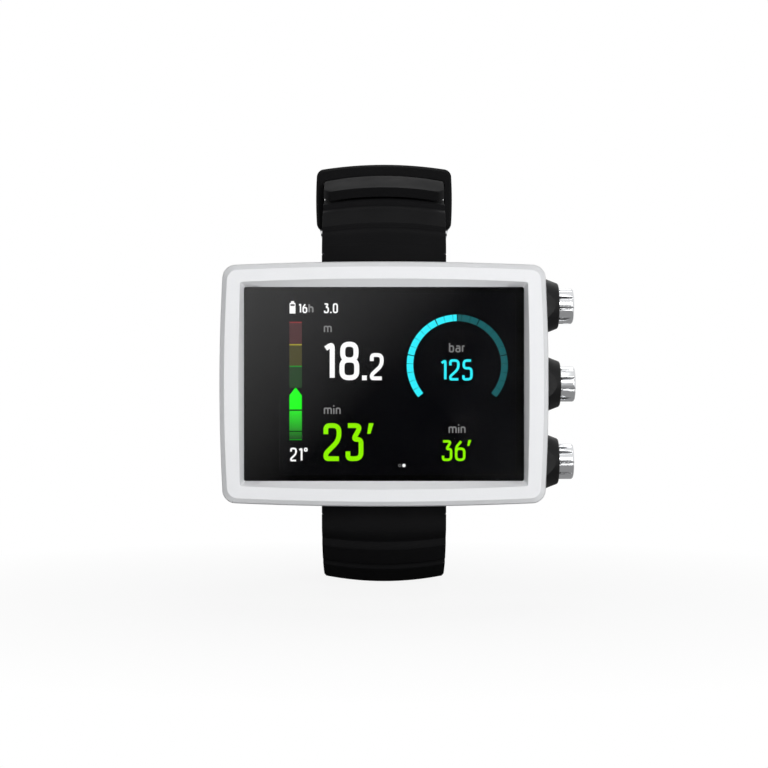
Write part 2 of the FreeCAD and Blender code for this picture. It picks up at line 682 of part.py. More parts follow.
def switch_board():
    """Small board along the button side, square to the main board's edge."""
    x = switch_board_x()
    return block(x, x + SWITCH_BOARD_THICKNESS, BOARD_FRONT_Y, CAVITY_BACK_Y - FIT_CLEARANCE,
                 BUTTON_PLACES["bottom"] - SWITCH_BOARD_MARGIN,
                 BUTTON_PLACES["top"] + SWITCH_BOARD_MARGIN)


def button_switches():
    """One push switch in line with each stem."""
    half = SWITCH_SIZE / 2
    x = switch_x()
    return Part.makeCompound([
        block(x - SWITCH_THICKNESS, x, BUTTON_Y - half, BUTTON_Y + half, z - half,
              z + half) for z in BUTTON_PLACES.values()])


# ---- strap routes: straight runs and tangent bends in the YZ plane, at the strap's inner edge

def route(points, side):
    """Runs and bends through (y, z, bend radius) points; side is where outwards lies."""
    pieces = []
    here = Vector(0, points[0][0], points[0][1])
    for i in range(1, len(points)):
        corner = Vector(0, points[i][0], points[i][1])
        ahead = (corner - Vector(0, points[i - 1][0], points[i - 1][1])).normalize()
        if i == len(points) - 1:
            pieces.append(("run", here, ahead, (corner - here).Length))
            break
        after = (Vector(0, points[i + 1][0], points[i + 1][1]) - corner).normalize()
        turn = math.copysign(ahead.getAngle(after), ahead.cross(after).x)
        tangent = points[i][2] * math.tan(abs(turn) / 2)
        start = corner - ahead * tangent
        pieces.append(("run", here, ahead, (start - here).Length))
        inward = X_AXIS.cross(ahead) * math.copysign(1, turn)
        pieces.append(("bend", start, ahead, points[i][2] * abs(turn),
                       start + inward * points[i][2], turn))
        here = corner + after * tangent
    return {"pieces": pieces, "side": side,
            "ends": [sum(p[3] for p in pieces[:i]) for i in range(len(pieces) + 1)]}


def piece_at(line, s):
    """The piece of the route at arc length s."""
    for i in range(len(line["pieces"])):
        if s < line["ends"][i + 1] - 1e-7:
            return i
    return len(line["pieces"]) - 1


def frame_at(line, s):
    """Position, heading and outward direction at arc length s."""
    i = piece_at(line, s)
    piece = line["pieces"][i]
    along = s - line["ends"][i]
    if piece[0] == "run":
        position, heading = piece[1] + piece[2] * along, piece[2]
    else:
        angle = math.degrees(piece[5] * along / piece[3])
        spin = FreeCAD.Rotation(X_AXIS, angle)
        position = piece[4] + spin.multVec(piece[1] - piece[4])
        heading = spin.multVec(piece[2])
    return position, heading, X_AXIS.cross(heading) * line["side"]


def section(line, s, thickness):
    """The strap's crowned section at s, as a face."""
    position, _, out = frame_at(line, s)
    half, crown = X_AXIS * STRAP_HALF, out * STRAP_CROWN
    low, high = position, position + out * thickness
    return Part.Face(Part.Wire([
        Part.Arc(low - half, low + crown, low + half).toShape(),
        Part.LineSegment(low + half, high + half).toShape(),
        Part.Arc(high + half, high + crown, high - half).toShape(),
        Part.LineSegment(high - half, low - half).toShape()]))


def span(line, s0, t0, s1, t1):
    """The strap between two sections that lie on one piece of the route, or on a short chord."""
    i = piece_at(line, s0)
    piece = line["pieces"][i]
    if piece[0] == "bend" and abs(t1 - t0) < 1e-9 and s1 <= line["ends"][i + 1] + 1e-6:
        angle = math.degrees(piece[5] * (s1 - s0) / piece[3])
        return section(line, s0, t0).revolve(piece[4], X_AXIS, angle)
    return Part.makeLoft([section(line, s0, t0).OuterWire, section(line, s1, t1).OuterWire],
                         True, True)


def band(line, stations):
    """The strap through (s, thickness) stations, split where the route's pieces join."""
    spans = []
    for (s0, t0), (s1, t1) in zip(stations, stations[1:]):
        cuts = [s0] + ([e for e in line["ends"] if s0 + 1e-4 < e < s1 - 1e-4]
                       if abs(t1 - t0) < 1e-9 else []) + [s1]
        spans += [span(line, a, t0, b, t0 if b < s1 else t1) for a, b in zip(cuts, cuts[1:])]
    return fuse(spans)


def slot(line, s):
    """A round-ended slot through the strap at s."""
    position, heading, out = frame_at(line, s)
    reach = 4 * BAND_THICKNESS
    base = position - out * reach
    radius = SLOT_WIDTH / 2
    half = heading * (SLOT_LENGTH / 2 - radius)
    side = X_AXIS * radius
    middle = slab(base - half - side, half * 2, side * 2, out * 2 * reach)
    ends = [Part.makeCylinder(radius, 2 * reach, base + offset, out) for offset in (half, -half)]
    return fuse([middle] + ends)


def cut_end(line, s, radius, level):
    """What is outside a round end of the strap, past s."""
    position, heading, out = frame_at(line, s)
    reach = STRAP_WIDTH
    corner = position - out * reach - X_AXIS * reach
    past = slab(corner, heading * reach, out * 2 * reach, X_AXIS * 2 * reach)
    centre = position + out * level - X_AXIS * reach
    return past.cut(Part.makeCylinder(radius, 2 * reach, centre, X_AXIS))


def block_stations(blocks):
    """Stations of raised blocks given as (start, chamfer start, end, thickness)."""
    stations = [(blocks[0][0], blocks[0][3]), (blocks[0][1], blocks[0][3])]
    for start, chamfer, _, thickness in blocks[1:]:
        stations += [(start, BLOCK_GROOVE), (start + BLOCK_LEAD, thickness), (chamfer, thickness)]
    return stations + [(blocks[-1][2], BLOCK_GROOVE)]


# (y, z, bend radius) at the strap's inner edge, from the case outwards, with z from TOP or BOTTOM
TOP, BOTTOM = STRAP_START_Z, -STRAP_START_Z
UPPER_ROUTE = [(0, TOP, 0), (0, TOP + 6.5, 2), (8, TOP + 13.5, 8), (29.5, TOP + 18.2, 12),
               (50, TOP + 18.2, 20), (69, TOP + 13.1, 0)]
TAIL_Z = UPPER_ROUTE[3][1] + KEEPER_BAND_THICKNESS + TAIL_GAP
CROSSING_POINT = (71, TOP + 19.3, 8)
LOWER_ROUTE = [(0, BOTTOM, 0), (0, BOTTOM - 6.8, 5), (7.7, BOTTOM - 13.5, 12),
               (18.7, BOTTOM - 18.1, 30), (42, BOTTOM - 21.4, 60), (66, BOTTOM - 16.5, 34),
               (81, BOTTOM - 1, 34), (87, BOTTOM + 24, 60), (87, TOP - 22, 60), (83, TOP - 2, 30),
               CROSSING_POINT, (50.9, TAIL_Z, 26), (23.5, TAIL_Z, 20), (9.7, TAIL_Z - TAIL_DROP, 0)]
UPPER_BLOCKS = [(0, 5.2, 7.3, BLOCK_THICKNESS), (7.3, 15.4, 18.0, 4.2), (18.0, 35.5, 37.1, 4.8)]
LOWER_BLOCKS = [(0, 6.0, 8.1, BLOCK_THICKNESS), (8.1, 15.8, 17.4, 5.0), (17.4, 29.4, 31.2, 5.0),
                (31.2, 42.4, 44.2, 4.8)]
UPPER = route(UPPER_ROUTE, 1)
LOWER = route(LOWER_ROUTE, -1)
BAR_S = UPPER["ends"][-1] - BAR_LEVEL
BAR = frame_at(UPPER, BAR_S)[0] + frame_at(UPPER, BAR_S)[2] * BAR_LEVEL
CROSSING = LOWER_ROUTE.index(CROSSING_POINT)
CROSSING_S = sum(LOWER["ends"][2 * CROSSING - 1:2 * CROSSING + 1]) / 2
FRAME_S = CROSSING_S - FRAME_PLACE


def frame_bar():
    """The centre of the buckle frame's far bar, just outside the long strap."""
    position, _, out = frame_at(LOWER, FRAME_S)
    return position + out * (BAND_THICKNESS + STRAP_CROWN + FRAME_BAR_GAP + FRAME_BAR_RADIUS)


def strap_seat(side):
    """The slot for the lug and the holes for the pin and its screws, at one end of a strap."""
    half = LUG_WIDTH / 2 + LUG_GAP
    top = LUG_PIN_Z + LUG_RADIUS + LUG_GAP
    z0, z1 = sorted((side * HALF_HEIGHT, side * top))
    screw_x = STRAP_HALF - LUG_SCREW_LENGTH
    pin = rod(-STRAP_HALF, -LUG_PIN_BACK, side * LUG_PIN_Z, LUG_PIN_RADIUS + RUNNING_CLEARANCE,
              STRAP_WIDTH, X_AXIS)
    heads = [rod(x, -LUG_PIN_BACK, side * LUG_PIN_Z, LUG_SCREW_RADIUS + RUNNING_CLEARANCE,
                 LUG_SCREW_LENGTH, X_AXIS) for x in (-STRAP_HALF, screw_x)]
    front_y = -LUG_PIN_BACK - LUG_RADIUS - LUG_GAP
    return fuse([block(-half, half, front_y, BLOCK_THICKNESS, z0, z1), pin] + heads)


def strap_upper():
    """Short strap half: three raised blocks, then the part that the keeper slides on."""
    end = UPPER["ends"][-1]
    blocks = block_stations(UPPER_BLOCKS)
    start = blocks[-1][0]
    body = band(UPPER, blocks + [(start + BLOCK_LEAD, KEEPER_BAND_THICKNESS),
                                 (end, KEEPER_BAND_THICKNESS)])
    half = TANG_WIDTH / 2 + TANG_NOTCH_GAP
    notch = tang_space(half)
    hole = rod(-STRAP_HALF, BAR.y, BAR.z, BAR_RADIUS + RUNNING_CLEARANCE, STRAP_WIDTH, X_AXIS)
    return body.cut([strap_seat(1), cut_end(UPPER, BAR_S, BAR_LEVEL, BAR_LEVEL), notch, hole])


def tang_space(half):
    """The notch in the strap's end that the tang's eye turns in."""
    radius = TANG_EYE_RADIUS + TANG_NOTCH_GAP
    position, heading, out = frame_at(UPPER, BAR_S)
    reach = 2 * KEEPER_BAND_THICKNESS
    corner = position - heading * radius - out * radius - X_AXIS * half
    return slab(corner, heading * reach, out * reach, X_AXIS * 2 * half)


def slot_places():
    """Arc lengths of the long strap's slots, either side of the one that the tang is in."""
    used = CROSSING_S - SLOT_FROM_CROSSING
    return [used + i * SLOT_PITCH for i in range(-SLOTS_BEFORE, SLOTS_AFTER + 1)]


def strap_lower():
    """Long strap half: four raised blocks, then a slotted band that ends in the tail."""
    end = LOWER["ends"][-1]
    blocks = block_stations(LOWER_BLOCKS)
    start = blocks[-1][0]
    body = band(LOWER, blocks + [(start + BLOCK_LEAD, BAND_THICKNESS), (end, BAND_THICKNESS)])
    return body.cut([strap_seat(-1)] + [slot(LOWER, s) for s in slot_places()] + tail_corners())


def tail_corners():
    """What the chamfered corners of the tail's tip leave out."""
    position, heading, out = frame_at(LOWER, LOWER["ends"][-1])
    base = position - out * BAND_THICKNESS
    return [Part.Face(Part.makePolygon([
        base + X_AXIS * (side * STRAP_HALF), base + X_AXIS * (side * (STRAP_HALF - TAIL_CORNER)),
        base + X_AXIS * (side * STRAP_HALF) - heading * TAIL_CORNER,
        base + X_AXIS * (side * STRAP_HALF)])).extrude(out * 4 * BAND_THICKNESS)
        for side in (1, -1)]


def lug_pin(side):
    """Strap pin through the lug and the strap's ears."""
    reach = STRAP_HALF - LUG_SCREW_LENGTH
    return rod(-reach, -LUG_PIN_BACK, side * LUG_PIN_Z, LUG_PIN_RADIUS, 2 * reach, X_AXIS)


def lug_screws():
    """Slotted screws in both ends of both strap pins."""
    screws = []
    for side in (1, -1):
        for x, mouth_x in ((-STRAP_HALF, -STRAP_HALF),
                           (STRAP_HALF - LUG_SCREW_LENGTH, STRAP_HALF - LUG_SCREW_SLOT_DEPTH)):
            head = rod(x, -LUG_PIN_BACK, side * LUG_PIN_Z, LUG_SCREW_RADIUS, LUG_SCREW_LENGTH,
                       X_AXIS)
            half = LUG_SCREW_SLOT_WIDTH / 2
            cut = block(mouth_x, mouth_x + LUG_SCREW_SLOT_DEPTH, -2 * LUG_PIN_BACK, 0,
                        side * LUG_PIN_Z - half, side * LUG_PIN_Z + half)
            screws.append(head.cut(cut))
    return Part.makeCompound(screws)


# ---- keeper and buckle

def keeper():
    """Rubber loop round both strap ends, arched like them."""
    inner = STRAP_HALF + KEEPER_SIDE_GAP
    outer = inner + KEEPER_SIDE_WALL
    roof = TAIL_Z + BAND_THICKNESS + KEEPER_TOP_GAP
    top = roof + KEEPER_TOP_WALL
    floor = top + STRAP_CROWN - KEEPER_HEIGHT
    y = KEEPER_Y - KEEPER_LENGTH / 2
    whole = arched(outer, floor, top, y)
    long_edges = [e for e in whole.Edges if e.BoundBox.YLength > KEEPER_LENGTH - 1e-6]
    whole = whole.makeFillet(KEEPER_ROUND, long_edges)
    return whole.cut(arched(inner, floor + KEEPER_FLOOR_WALL, roof, y))


def arched(half, floor, top, y):
    """A block along Y whose top arches by the strap's crown."""
    corners = [Vector(-half, y, floor), Vector(half, y, floor), Vector(half, y, top),
               Vector(-half, y, top)]
    edges = [Part.LineSegment(corners[3], corners[0]).toShape(),
             Part.LineSegment(corners[0], corners[1]).toShape(),
             Part.LineSegment(corners[1], corners[2]).toShape(),
             Part.Arc(corners[2], Vector(0, y, top + STRAP_CROWN), corners[3]).toShape()]
    return Part.Face(Part.Wire(edges)).extrude(Y_AXIS * KEEPER_LENGTH)


def frame_half_width():
    """Half the buckle frame's outer width."""
    return STRAP_HALF + FRAME_SIDE_GAP + FRAME_WALL


def buckle_bar():
    """Bar in the short strap's end that the frame and the tang turn on."""
    half = frame_half_width()
    return rod(-half, BAR.y, BAR.z, BAR_RADIUS, 2 * half, X_AXIS)


def buckle_frame():
    """Steel frame: two side plates on the bar, joined by the far bar."""
    far = frame_bar()
    along = (far - BAR).normalize()
    half = frame_half_width()
    across = X_AXIS.cross(along)
    plates = []
    for x in (-half, half - FRAME_WALL):
        near = Vector(x, BAR.y, BAR.z)
        away = Vector(x, far.y, far.z)
        lift = across * FRAME_ARM_RADIUS
        bar = slab(near - lift, away - near, lift * 2, X_AXIS * FRAME_WALL)
        ends = [Part.makeCylinder(FRAME_ARM_RADIUS, FRAME_WALL, c, X_AXIS) for c in (near, away)]
        middle = (near + away) * 0.5 - across * (FRAME_ARM_RADIUS + FRAME_NOTCH_DROP)
        notch = Part.makeCylinder(FRAME_NOTCH_RADIUS, FRAME_WALL, middle, X_AXIS)
        plates.append(fuse([bar] + ends).cut(notch))
    rail = rod(-half, far.y, far.z, FRAME_BAR_RADIUS, 2 * half, X_AXIS)
    hole = rod(-half, BAR.y, BAR.z, BAR_RADIUS + RUNNING_CLEARANCE, 2 * half, X_AXIS)
    return fuse(plates + [rail]).cut(hole)


def buckle_tang():
    """Steel tang: an eye on the bar and a tongue that rests over the far bar."""
    far = frame_bar()
    along = (far - BAR).normalize()
    up = X_AXIS.cross(along)
    rest = far + up * (FRAME_BAR_RADIUS + TANG_GAP + TANG_THICKNESS / 2)
    way = (rest - BAR).normalize()
    lift = X_AXIS.cross(way) * (TANG_THICKNESS / 2)
    start = BAR - X_AXIS * (TANG_WIDTH / 2)
    end = start + way * ((rest - BAR).Length + TANG_OVERHANG)
    tongue = slab(start - lift, end - start, lift * 2, X_AXIS * TANG_WIDTH)
    eye = Part.makeCylinder(TANG_EYE_RADIUS, TANG_WIDTH, start, X_AXIS)
    nose = Part.makeCylinder(TANG_THICKNESS / 2, TANG_WIDTH, end, X_AXIS)
    hole = Part.makeCylinder(BAR_RADIUS + RUNNING_CLEARANCE, TANG_WIDTH, start, X_AXIS)
    return fuse([tongue, eye, nose]).cut(hole)


def main():
    """Write every node."""
    os.makedirs("parts", exist_ok=True)
    nodes = {
        "bezel": bezel(), "cover_glass": cover_glass(), "glass_seal": glass_seal(),
        "display_panel": display_panel(), "housing": housing(), "rear_cover": rear_cover(),
        "rear_seal": rear_seal(), "rear_cover_screws": cover_screws(),
        "pressure_sensor": pressure_sensor(), "sensor_cover": sensor_cover(),
        "buzzer": buzzer(), "charge_contacts": charge_contacts(),
        "display_bracket": display_bracket(), "main_board": main_board(),
        "board_components": board_components(), "battery_tray": battery_tray(),
        "battery": battery(), "switch_board": switch_board(),
        "button_switches": button_switches(), "button_guides": button_guides(),
        "strap_upper": strap_upper(), "strap_lower": strap_lower(),
        "lug_pin_upper": lug_pin(1), "lug_pin_lower": lug_pin(-1), "lug_screws": lug_screws(),
        "keeper": keeper(), "buckle_bar": buckle_bar(), "buckle_frame": buckle_frame(),
        "buckle_tang": buckle_tang()}
    for place, z in BUTTON_PLACES.items():
        nodes["button_cap_" + place] = button_cap(z)
        nodes["button_stem_" + place] = button_stem(z)
        nodes["button_seal_" + place] = button_seal(z)
        nodes["button_clip_" + place] = button_clip(z)
        nodes["button_spring_" + place] = button_spring(z)
    for name, shape in nodes.items():
        save(name, shape)


main()
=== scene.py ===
"""Looks of a forearm dive computer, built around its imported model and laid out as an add-on.

Metres, in the model's own frame: the display faces -Y, the buttons are on +X and +Z is up.
"""
import math

import bmesh
import bpy
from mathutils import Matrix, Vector


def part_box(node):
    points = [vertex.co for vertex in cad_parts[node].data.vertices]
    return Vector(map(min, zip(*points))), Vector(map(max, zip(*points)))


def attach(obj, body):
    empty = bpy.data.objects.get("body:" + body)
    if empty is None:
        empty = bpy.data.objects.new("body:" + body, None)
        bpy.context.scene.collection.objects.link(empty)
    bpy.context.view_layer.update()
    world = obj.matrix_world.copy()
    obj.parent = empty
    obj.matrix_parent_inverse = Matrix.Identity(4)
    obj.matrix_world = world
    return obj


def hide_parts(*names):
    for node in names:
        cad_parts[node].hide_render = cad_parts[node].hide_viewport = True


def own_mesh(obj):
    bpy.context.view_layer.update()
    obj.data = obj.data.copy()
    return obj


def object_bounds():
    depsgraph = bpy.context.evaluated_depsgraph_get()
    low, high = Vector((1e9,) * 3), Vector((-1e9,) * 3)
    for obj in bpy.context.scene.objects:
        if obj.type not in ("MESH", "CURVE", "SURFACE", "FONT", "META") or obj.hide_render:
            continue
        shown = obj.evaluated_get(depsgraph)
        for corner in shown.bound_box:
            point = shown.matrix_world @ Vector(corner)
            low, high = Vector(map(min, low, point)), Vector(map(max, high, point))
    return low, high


bl_info = {
    "name": "Forearm Dive Computer",
    "version": (1, 0, 0),
    "blender": (4, 5, 0),
    "location": "3D View > Sidebar > Dive Computer",
    "description": "Builds the case, display, strap, buckle and stage of a forearm dive computer",
    "category": "Add Mesh",
}

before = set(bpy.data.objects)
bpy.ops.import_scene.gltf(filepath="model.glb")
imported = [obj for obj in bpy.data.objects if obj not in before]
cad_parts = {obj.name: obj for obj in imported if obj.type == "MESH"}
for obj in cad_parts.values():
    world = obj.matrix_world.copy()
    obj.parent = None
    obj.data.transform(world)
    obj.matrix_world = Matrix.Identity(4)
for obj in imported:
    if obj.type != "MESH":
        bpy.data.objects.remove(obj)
CAD_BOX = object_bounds()
MM = 0.001
PANEL_TAB = "Dive Computer"
WAVE_SPACING = math.pi / 10     # how far apart a wave texture of scale 1 repeats
SHARP_ANGLE = 30                # degrees; a meshed edge that turns more stays crisp
BEND_STEPS = 6                  # steps round a rounded corner
TINY = 1e-9                     # metres; lengths closer than this are the same


def linear(colour):
    """An sRGB hex colour as linear red, green and blue."""
    parts = [int(colour[i:i + 2], 16) / 255 for i in (1, 3, 5)]
    return tuple(c / 12.92 if c <= 0.04045 else ((c + 0.055) / 1.055) ** 2.4 for c in parts)


def length(name, description, millimetres):
    """A length property, given in millimetres."""
    return bpy.props.FloatProperty(name=name, description=description, unit="LENGTH",
                                   default=millimetres * MM, precision=5)


def tint(name, description, colour):
    """A colour property, given as sRGB hex."""
    return bpy.props.FloatVectorProperty(name=name, description=description, subtype="COLOR",
                                         size=3, min=0, max=1, default=linear(colour))


# ---- what a user would change

class CaseSettings(bpy.types.PropertyGroup):
    """Sizes and colours of the bezel and housing."""
    chamfer_width: length("Chamfer width", "From the bezel's outer edge to its flat face", 1.8)
    chamfer_depth: length("Chamfer depth", "How far the bezel's outer chamfer reaches back", 1.6)
    wall_draft: length("Wall draft", "How far the bezel's wall leans out towards the back", 0.5)
    side_width: length("Side width", "Bezel width from its outer edge to its inner slope", 5.35)
    end_width: length("End width", "The same at the top and bottom", 5.15)
    slope_side: length("Side slope", "Width of the inner slope at the sides", 0.95)
    slope_end: length("End slope", "Width of the inner slope at the top and bottom", 1.35)
    corner: length("Corner radius", "Radius of the case's corners", 3.5)
    window_corner: length("Window corner", "Radius of the window's corners", 0.6)
    window_wall: length("Window wall", "Depth of the straight wall next to the glass", 0.12)
    pocket: length("Glass pocket", "How far the glass's pocket reaches under the bezel", 1.45)
    lip_side_bow: length("Lip side bow", "How far the inner slope's top bows at the sides", 0.45)
    lip_end_bow: length("Lip end bow", "The same at the top and bottom", 1.0)
    side_bow: length("Side bow", "How far the case's sides bow out", 1.05)
    end_bow: length("End bow", "How far the case's top and bottom bow out", 1.1)
    edge: length("Edge rounding", "Rounding of the bezel's moulded edges", 0.28)
    bezel_colour: tint("Bezel colour", "Paint of the front ring", "#EDEEF0")
    housing_colour: tint("Housing colour", "Plastic of the housing", "#0A0A0B")


class DisplaySettings(bpy.types.PropertyGroup):
    """Sizes and colours of the readout."""
    stack: length("Display gap", "Depth kept behind the glass for ink and display", 0.3)
    glow: bpy.props.FloatProperty(name="Glow", description="Strength of the display's light",
                                  default=1.08)
    white: tint("White", "White digits", "#FFFFFF")
    green: tint("Green", "Green digits", "#8FF300")
    cyan: tint("Cyan", "Gauge and its digits", "#33F0FF")
    teal: tint("Teal", "Used part of the gauge", "#1A5C60")
    grey: tint("Grey", "Unit marks", "#808080")


class StrapSettings(bpy.types.PropertyGroup):
    """Sizes and colour of the strap."""
    width: length("Width", "Strap width", 37.0)
    crown: length("Crown", "How far the strap arches across its width", 1.8)
    edge: length("Edge rounding", "Rounding of the strap's long edges", 0.3)
    block_lead: length("Block lead", "Length of the rise to a raised block", 0.7)
    tail_gap: length("Tail gap", "Gap between the tail and the half that it lies on", 0.5)
    tail_drop: length("Tail drop", "How far the tail's end comes down", 5.2)
    tail_corner: length("Tail corner", "Chamfer of the tail's two corners", 2.2)
    lug_half: length("Lug half width", "Half width of the case's lug", 9.0)
    lug_radius: length("Lug radius", "Radius of the lug's rounded end", 2.2)
    lug_gap: length("Lug gap", "Gap round the lug, and beside the tang", 0.3)
    bar_level: length("Bar level", "Height of the buckle's bar over the strap's inner side", 3.9)
    notch: length("Notch", "How far the tang's notch reaches past the bar", 2.4)
    groove: length("Groove", "Thickness left between the raised blocks", 3.2)
    band: length("Band", "Thickness of the slotted band", 2.9)
    keeper_band: length("Keeper band", "Thickness where the keeper slides", 6.0)
    slot_width: length("Slot width", "Width of a buckle slot", 3.4)
    slot_length: length("Slot length", "Length of a buckle slot", 7.4)
    slot_pitch: length("Slot pitch", "Distance from slot to slot", 10.5)
    slot_shift: length("Slot shift", "From the used slot to where the halves cross", 2.0)
    colour: tint("Colour", "Silicone", "#111112")


class HardwareSettings(bpy.types.PropertyGroup):
    """Sizes and colours of the buttons, keeper and buckle."""
    flutes: bpy.props.IntProperty(name="Flutes", description="Flutes round a button cap",
                                  default=10, min=3)
    flute_depth: length("Flute depth", "Depth of a flute", 0.45)
    cap_round: length("Cap rounding", "Rounding of a cap's outer edge", 0.8)
    flute_angle: bpy.props.FloatProperty(name="Flute angle", subtype="ANGLE",
                                         description="Half the angle that a flute takes up",
                                         default=math.radians(5))
    cap_wall: length("Cap wall", "Wall of a cap at its open end", 1.1)
    cap_hollow: length("Cap hollow", "Depth of a cap's open end", 2.6)
    cap_dish: length("Cap dish", "Depth of the dish in a cap's face", 0.25)
    keeper_edge: length("Keeper chamfer", "How far the keeper's chamfer comes in", 0.9)
    keeper_reach: length("Chamfer reach", "How far that chamfer reaches along the strap", 1.3)
    keeper_round: length("Keeper rounding", "Rounding of the keeper's edges", 0.3)
    keeper_corner: length("Keeper corner", "Radius of the keeper's outer corners", 1.9)
    keeper_inside: length("Keeper inside corner", "Radius of its inner corners", 0.4)
    keeper_bow: length("Keeper bow", "How far the keeper's sides bow out", 0.35)
    keeper_side: length("Keeper side", "Thickness of the keeper's sides", 2.5)
    keeper_roof: length("Keeper roof", "Thickness of the keeper's top", 3.7)
    keeper_floor: length("Keeper floor", "Thickness of the keeper's foot", 2.4)
    steel_colour: tint("Steel", "Polished stainless steel", "#D9DADC")


class StageSettings(bpy.types.PropertyGroup):
    """Floor, lamps and camera."""
    distance: length("Camera distance", "From the camera to the middle of the case", 548.0)
    lens: bpy.props.FloatProperty(name="Lens", description="Focal length", unit="CAMERA",
                                  default=85.6)
    floor_colour: tint("Floor", "Colour of the floor", "#F4F4F4")


SETTINGS = {"dive_case": CaseSettings, "dive_display": DisplaySettings,
            "dive_strap": StrapSettings, "dive_hardware": HardwareSettings,
            "dive_stage": StageSettings}


# ---- shader helpers

def node(tree, kind, inputs=None, **settings):
    """Add one shader node, with its settings and its inputs' values or links."""
    made = tree.nodes.new(kind)
    for key, value in settings.items():
        setattr(made, key, value)
    for key, value in (inputs or {}).items():
        if isinstance(value, bpy.types.NodeSocket):
            tree.links.new(value, made.inputs[key])
        else:
            made.inputs[key].default_value = value
    return made


def new_material(name, colour, roughness, **sockets):
    """A material whose shader sockets are set; returns it with its tree and shader."""
    made = bpy.data.materials.new(name)
    made.use_nodes = True
    shader = made.node_tree.nodes["Principled BSDF"]
    shader.inputs["Base Color"].default_value = (*colour, 1)
    shader.inputs["Roughness"].default_value = roughness
    for key, value in sockets.items():
        shader.inputs[key.replace("_", " ").title().replace("Ior", "IOR")].default_value = value
    return made, made.node_tree, shader


def two_tone(tree, factor, dark, light):
    """A colour that runs from dark to light with a factor."""
    ramp = node(tree, "ShaderNodeValToRGB", {"Fac": factor})
    ramp.color_ramp.elements[0].color = (*dark, 1)
    ramp.color_ramp.elements[1].color = (*light, 1)
    return ramp.outputs["Color"]


def cloud(tree, size, detail=4.0, stretch=(1, 1, 1)):
    """Noise of a real size over the surface."""
    place = node(tree, "ShaderNodeTexCoord")
    scaled = node(tree, "ShaderNodeMapping", {"Vector": place.outputs["Object"],
                                              "Scale": stretch})
    noise = node(tree, "ShaderNodeTexNoise", {"Vector": scaled.outputs["Vector"],
                                              "Scale": 1 / size, "Detail": detail})
    return noise.outputs["Fac"]


def grain(tree, shader, size, height, shade=0.12, stretch=(1, 1, 1)):
    """Give a surface a fine grain of a real size: bump, and a slight change of tone."""
    noise = cloud(tree, size, stretch=stretch)
    bump = node(tree, "ShaderNodeBump", {"Height": noise, "Strength": 0.6, "Distance": height})
    tree.links.new(bump.outputs["Normal"], shader.inputs["Normal"])
    colour = tuple(shader.inputs["Base Color"].default_value)[:3]
    tone = two_tone(tree, noise, [c * (1 - shade) for c in colour],
                    [min(1, c * (1 + shade)) for c in colour])
    tree.links.new(tone, shader.inputs["Base Color"])


def gloss_change(tree, shader, size, low, high):
    """Let the gloss wander between two roughnesses, as handling leaves it."""
    ranged = node(tree, "ShaderNodeMapRange", {"Value": cloud(tree, size, 3.0),
                                               "From Min": 0.3, "From Max": 0.7,
                                               "To Min": low, "To Max": high})
    tree.links.new(ranged.outputs["Result"], shader.inputs["Roughness"])


# ---- materials, each named for what the real one is

def painted_polycarbonate():
    """Soft-touch white paint on moulded polycarbonate: matt, with a very fine even grain."""
    settings = bpy.context.scene.dive_case
    made, tree, shader = new_material("painted_polycarbonate", settings.bezel_colour, 0.5,
                                      ior=1.5, specular_ior_level=0.25)
    grain(tree, shader, 0.22 * MM, 0.012 * MM, shade=0.025)
    return made


def glass_filled_polyamide():
    """Black glass-filled nylon, spark-eroded mould texture: dull, with a pebbled grain."""
    settings = bpy.context.scene.dive_case
    made, tree, shader = new_material("glass_filled_polyamide", settings.housing_colour, 0.5,
                                      ior=1.53, specular_ior_level=0.18)
    grain(tree, shader, 0.3 * MM, 0.05 * MM, shade=0.2)
    gloss_change(tree, shader, 4 * MM, 0.42, 0.6)
    return made


def silicone_rubber():
    """Moulded black silicone: a soft dark sheen, dust-fine grain and faint handling marks."""
    settings = bpy.context.scene.dive_strap
    made, tree, shader = new_material("silicone_rubber", settings.colour, 0.7, ior=1.41,
                                      specular_ior_level=0.06)
    grain(tree, shader, 0.28 * MM, 0.02 * MM, shade=0.18)
    gloss_change(tree, shader, 9 * MM, 0.66, 0.74)
    return made


def strengthened_glass():
    """Strengthened cover glass: clear, with a faint change of gloss where fingers touched."""
    made, tree, shader = new_material("strengthened_glass", (1, 1, 1), 0.0, ior=1.5)
    shader.inputs["Transmission Weight"].default_value = 1.0
    gloss_change(tree, shader, 12 * MM, 0.0, 0.02)
    return made


def printed_ink():
    """Black ceramic ink fired on the back of the glass: dense and even."""
    made, tree, shader = new_material("ceramic_ink", linear("#020203"), 0.12, ior=1.5)
    grain(tree, shader, 0.3 * MM, 0.002 * MM, shade=0.3)
    return made


def display_layer():
    """Liquid-crystal display at its black level: nearly black, with a trace of backlight."""
    made, tree, shader = new_material("liquid_crystal_panel", linear("#020203"), 0.12, ior=1.5)
    shader.inputs["Emission Strength"].default_value = 1.0
    grain(tree, shader, 0.4 * MM, 0.001 * MM, shade=0.3)
    tone = two_tone(tree, cloud(tree, 20 * MM), linear("#020203"), linear("#050507"))
    tree.links.new(tone, shader.inputs["Emission Color"])
    return made


def lit_cells(name, colour):
    """Lit liquid-crystal cells: even light in rows, drawn 0.6 mm apart, coarser than real."""
    made, tree, shader = new_material("lit_cells_" + name, (0, 0, 0), 0.12, ior=1.5)
    row_spacing, dimmest = 0.6 * MM, 0.95
    shader.inputs["Emission Strength"].default_value = bpy.context.scene.dive_display.glow
    place = node(tree, "ShaderNodeTexCoord")
    rows = node(tree, "ShaderNodeTexWave", {"Vector": place.outputs["Object"],
                                            "Scale": WAVE_SPACING / row_spacing},
                bands_direction="Z")
    tone = two_tone(tree, rows.outputs["Fac"], [c * dimmest for c in colour], colour)
    tree.links.new(tone, shader.inputs["Emission Color"])
    return made


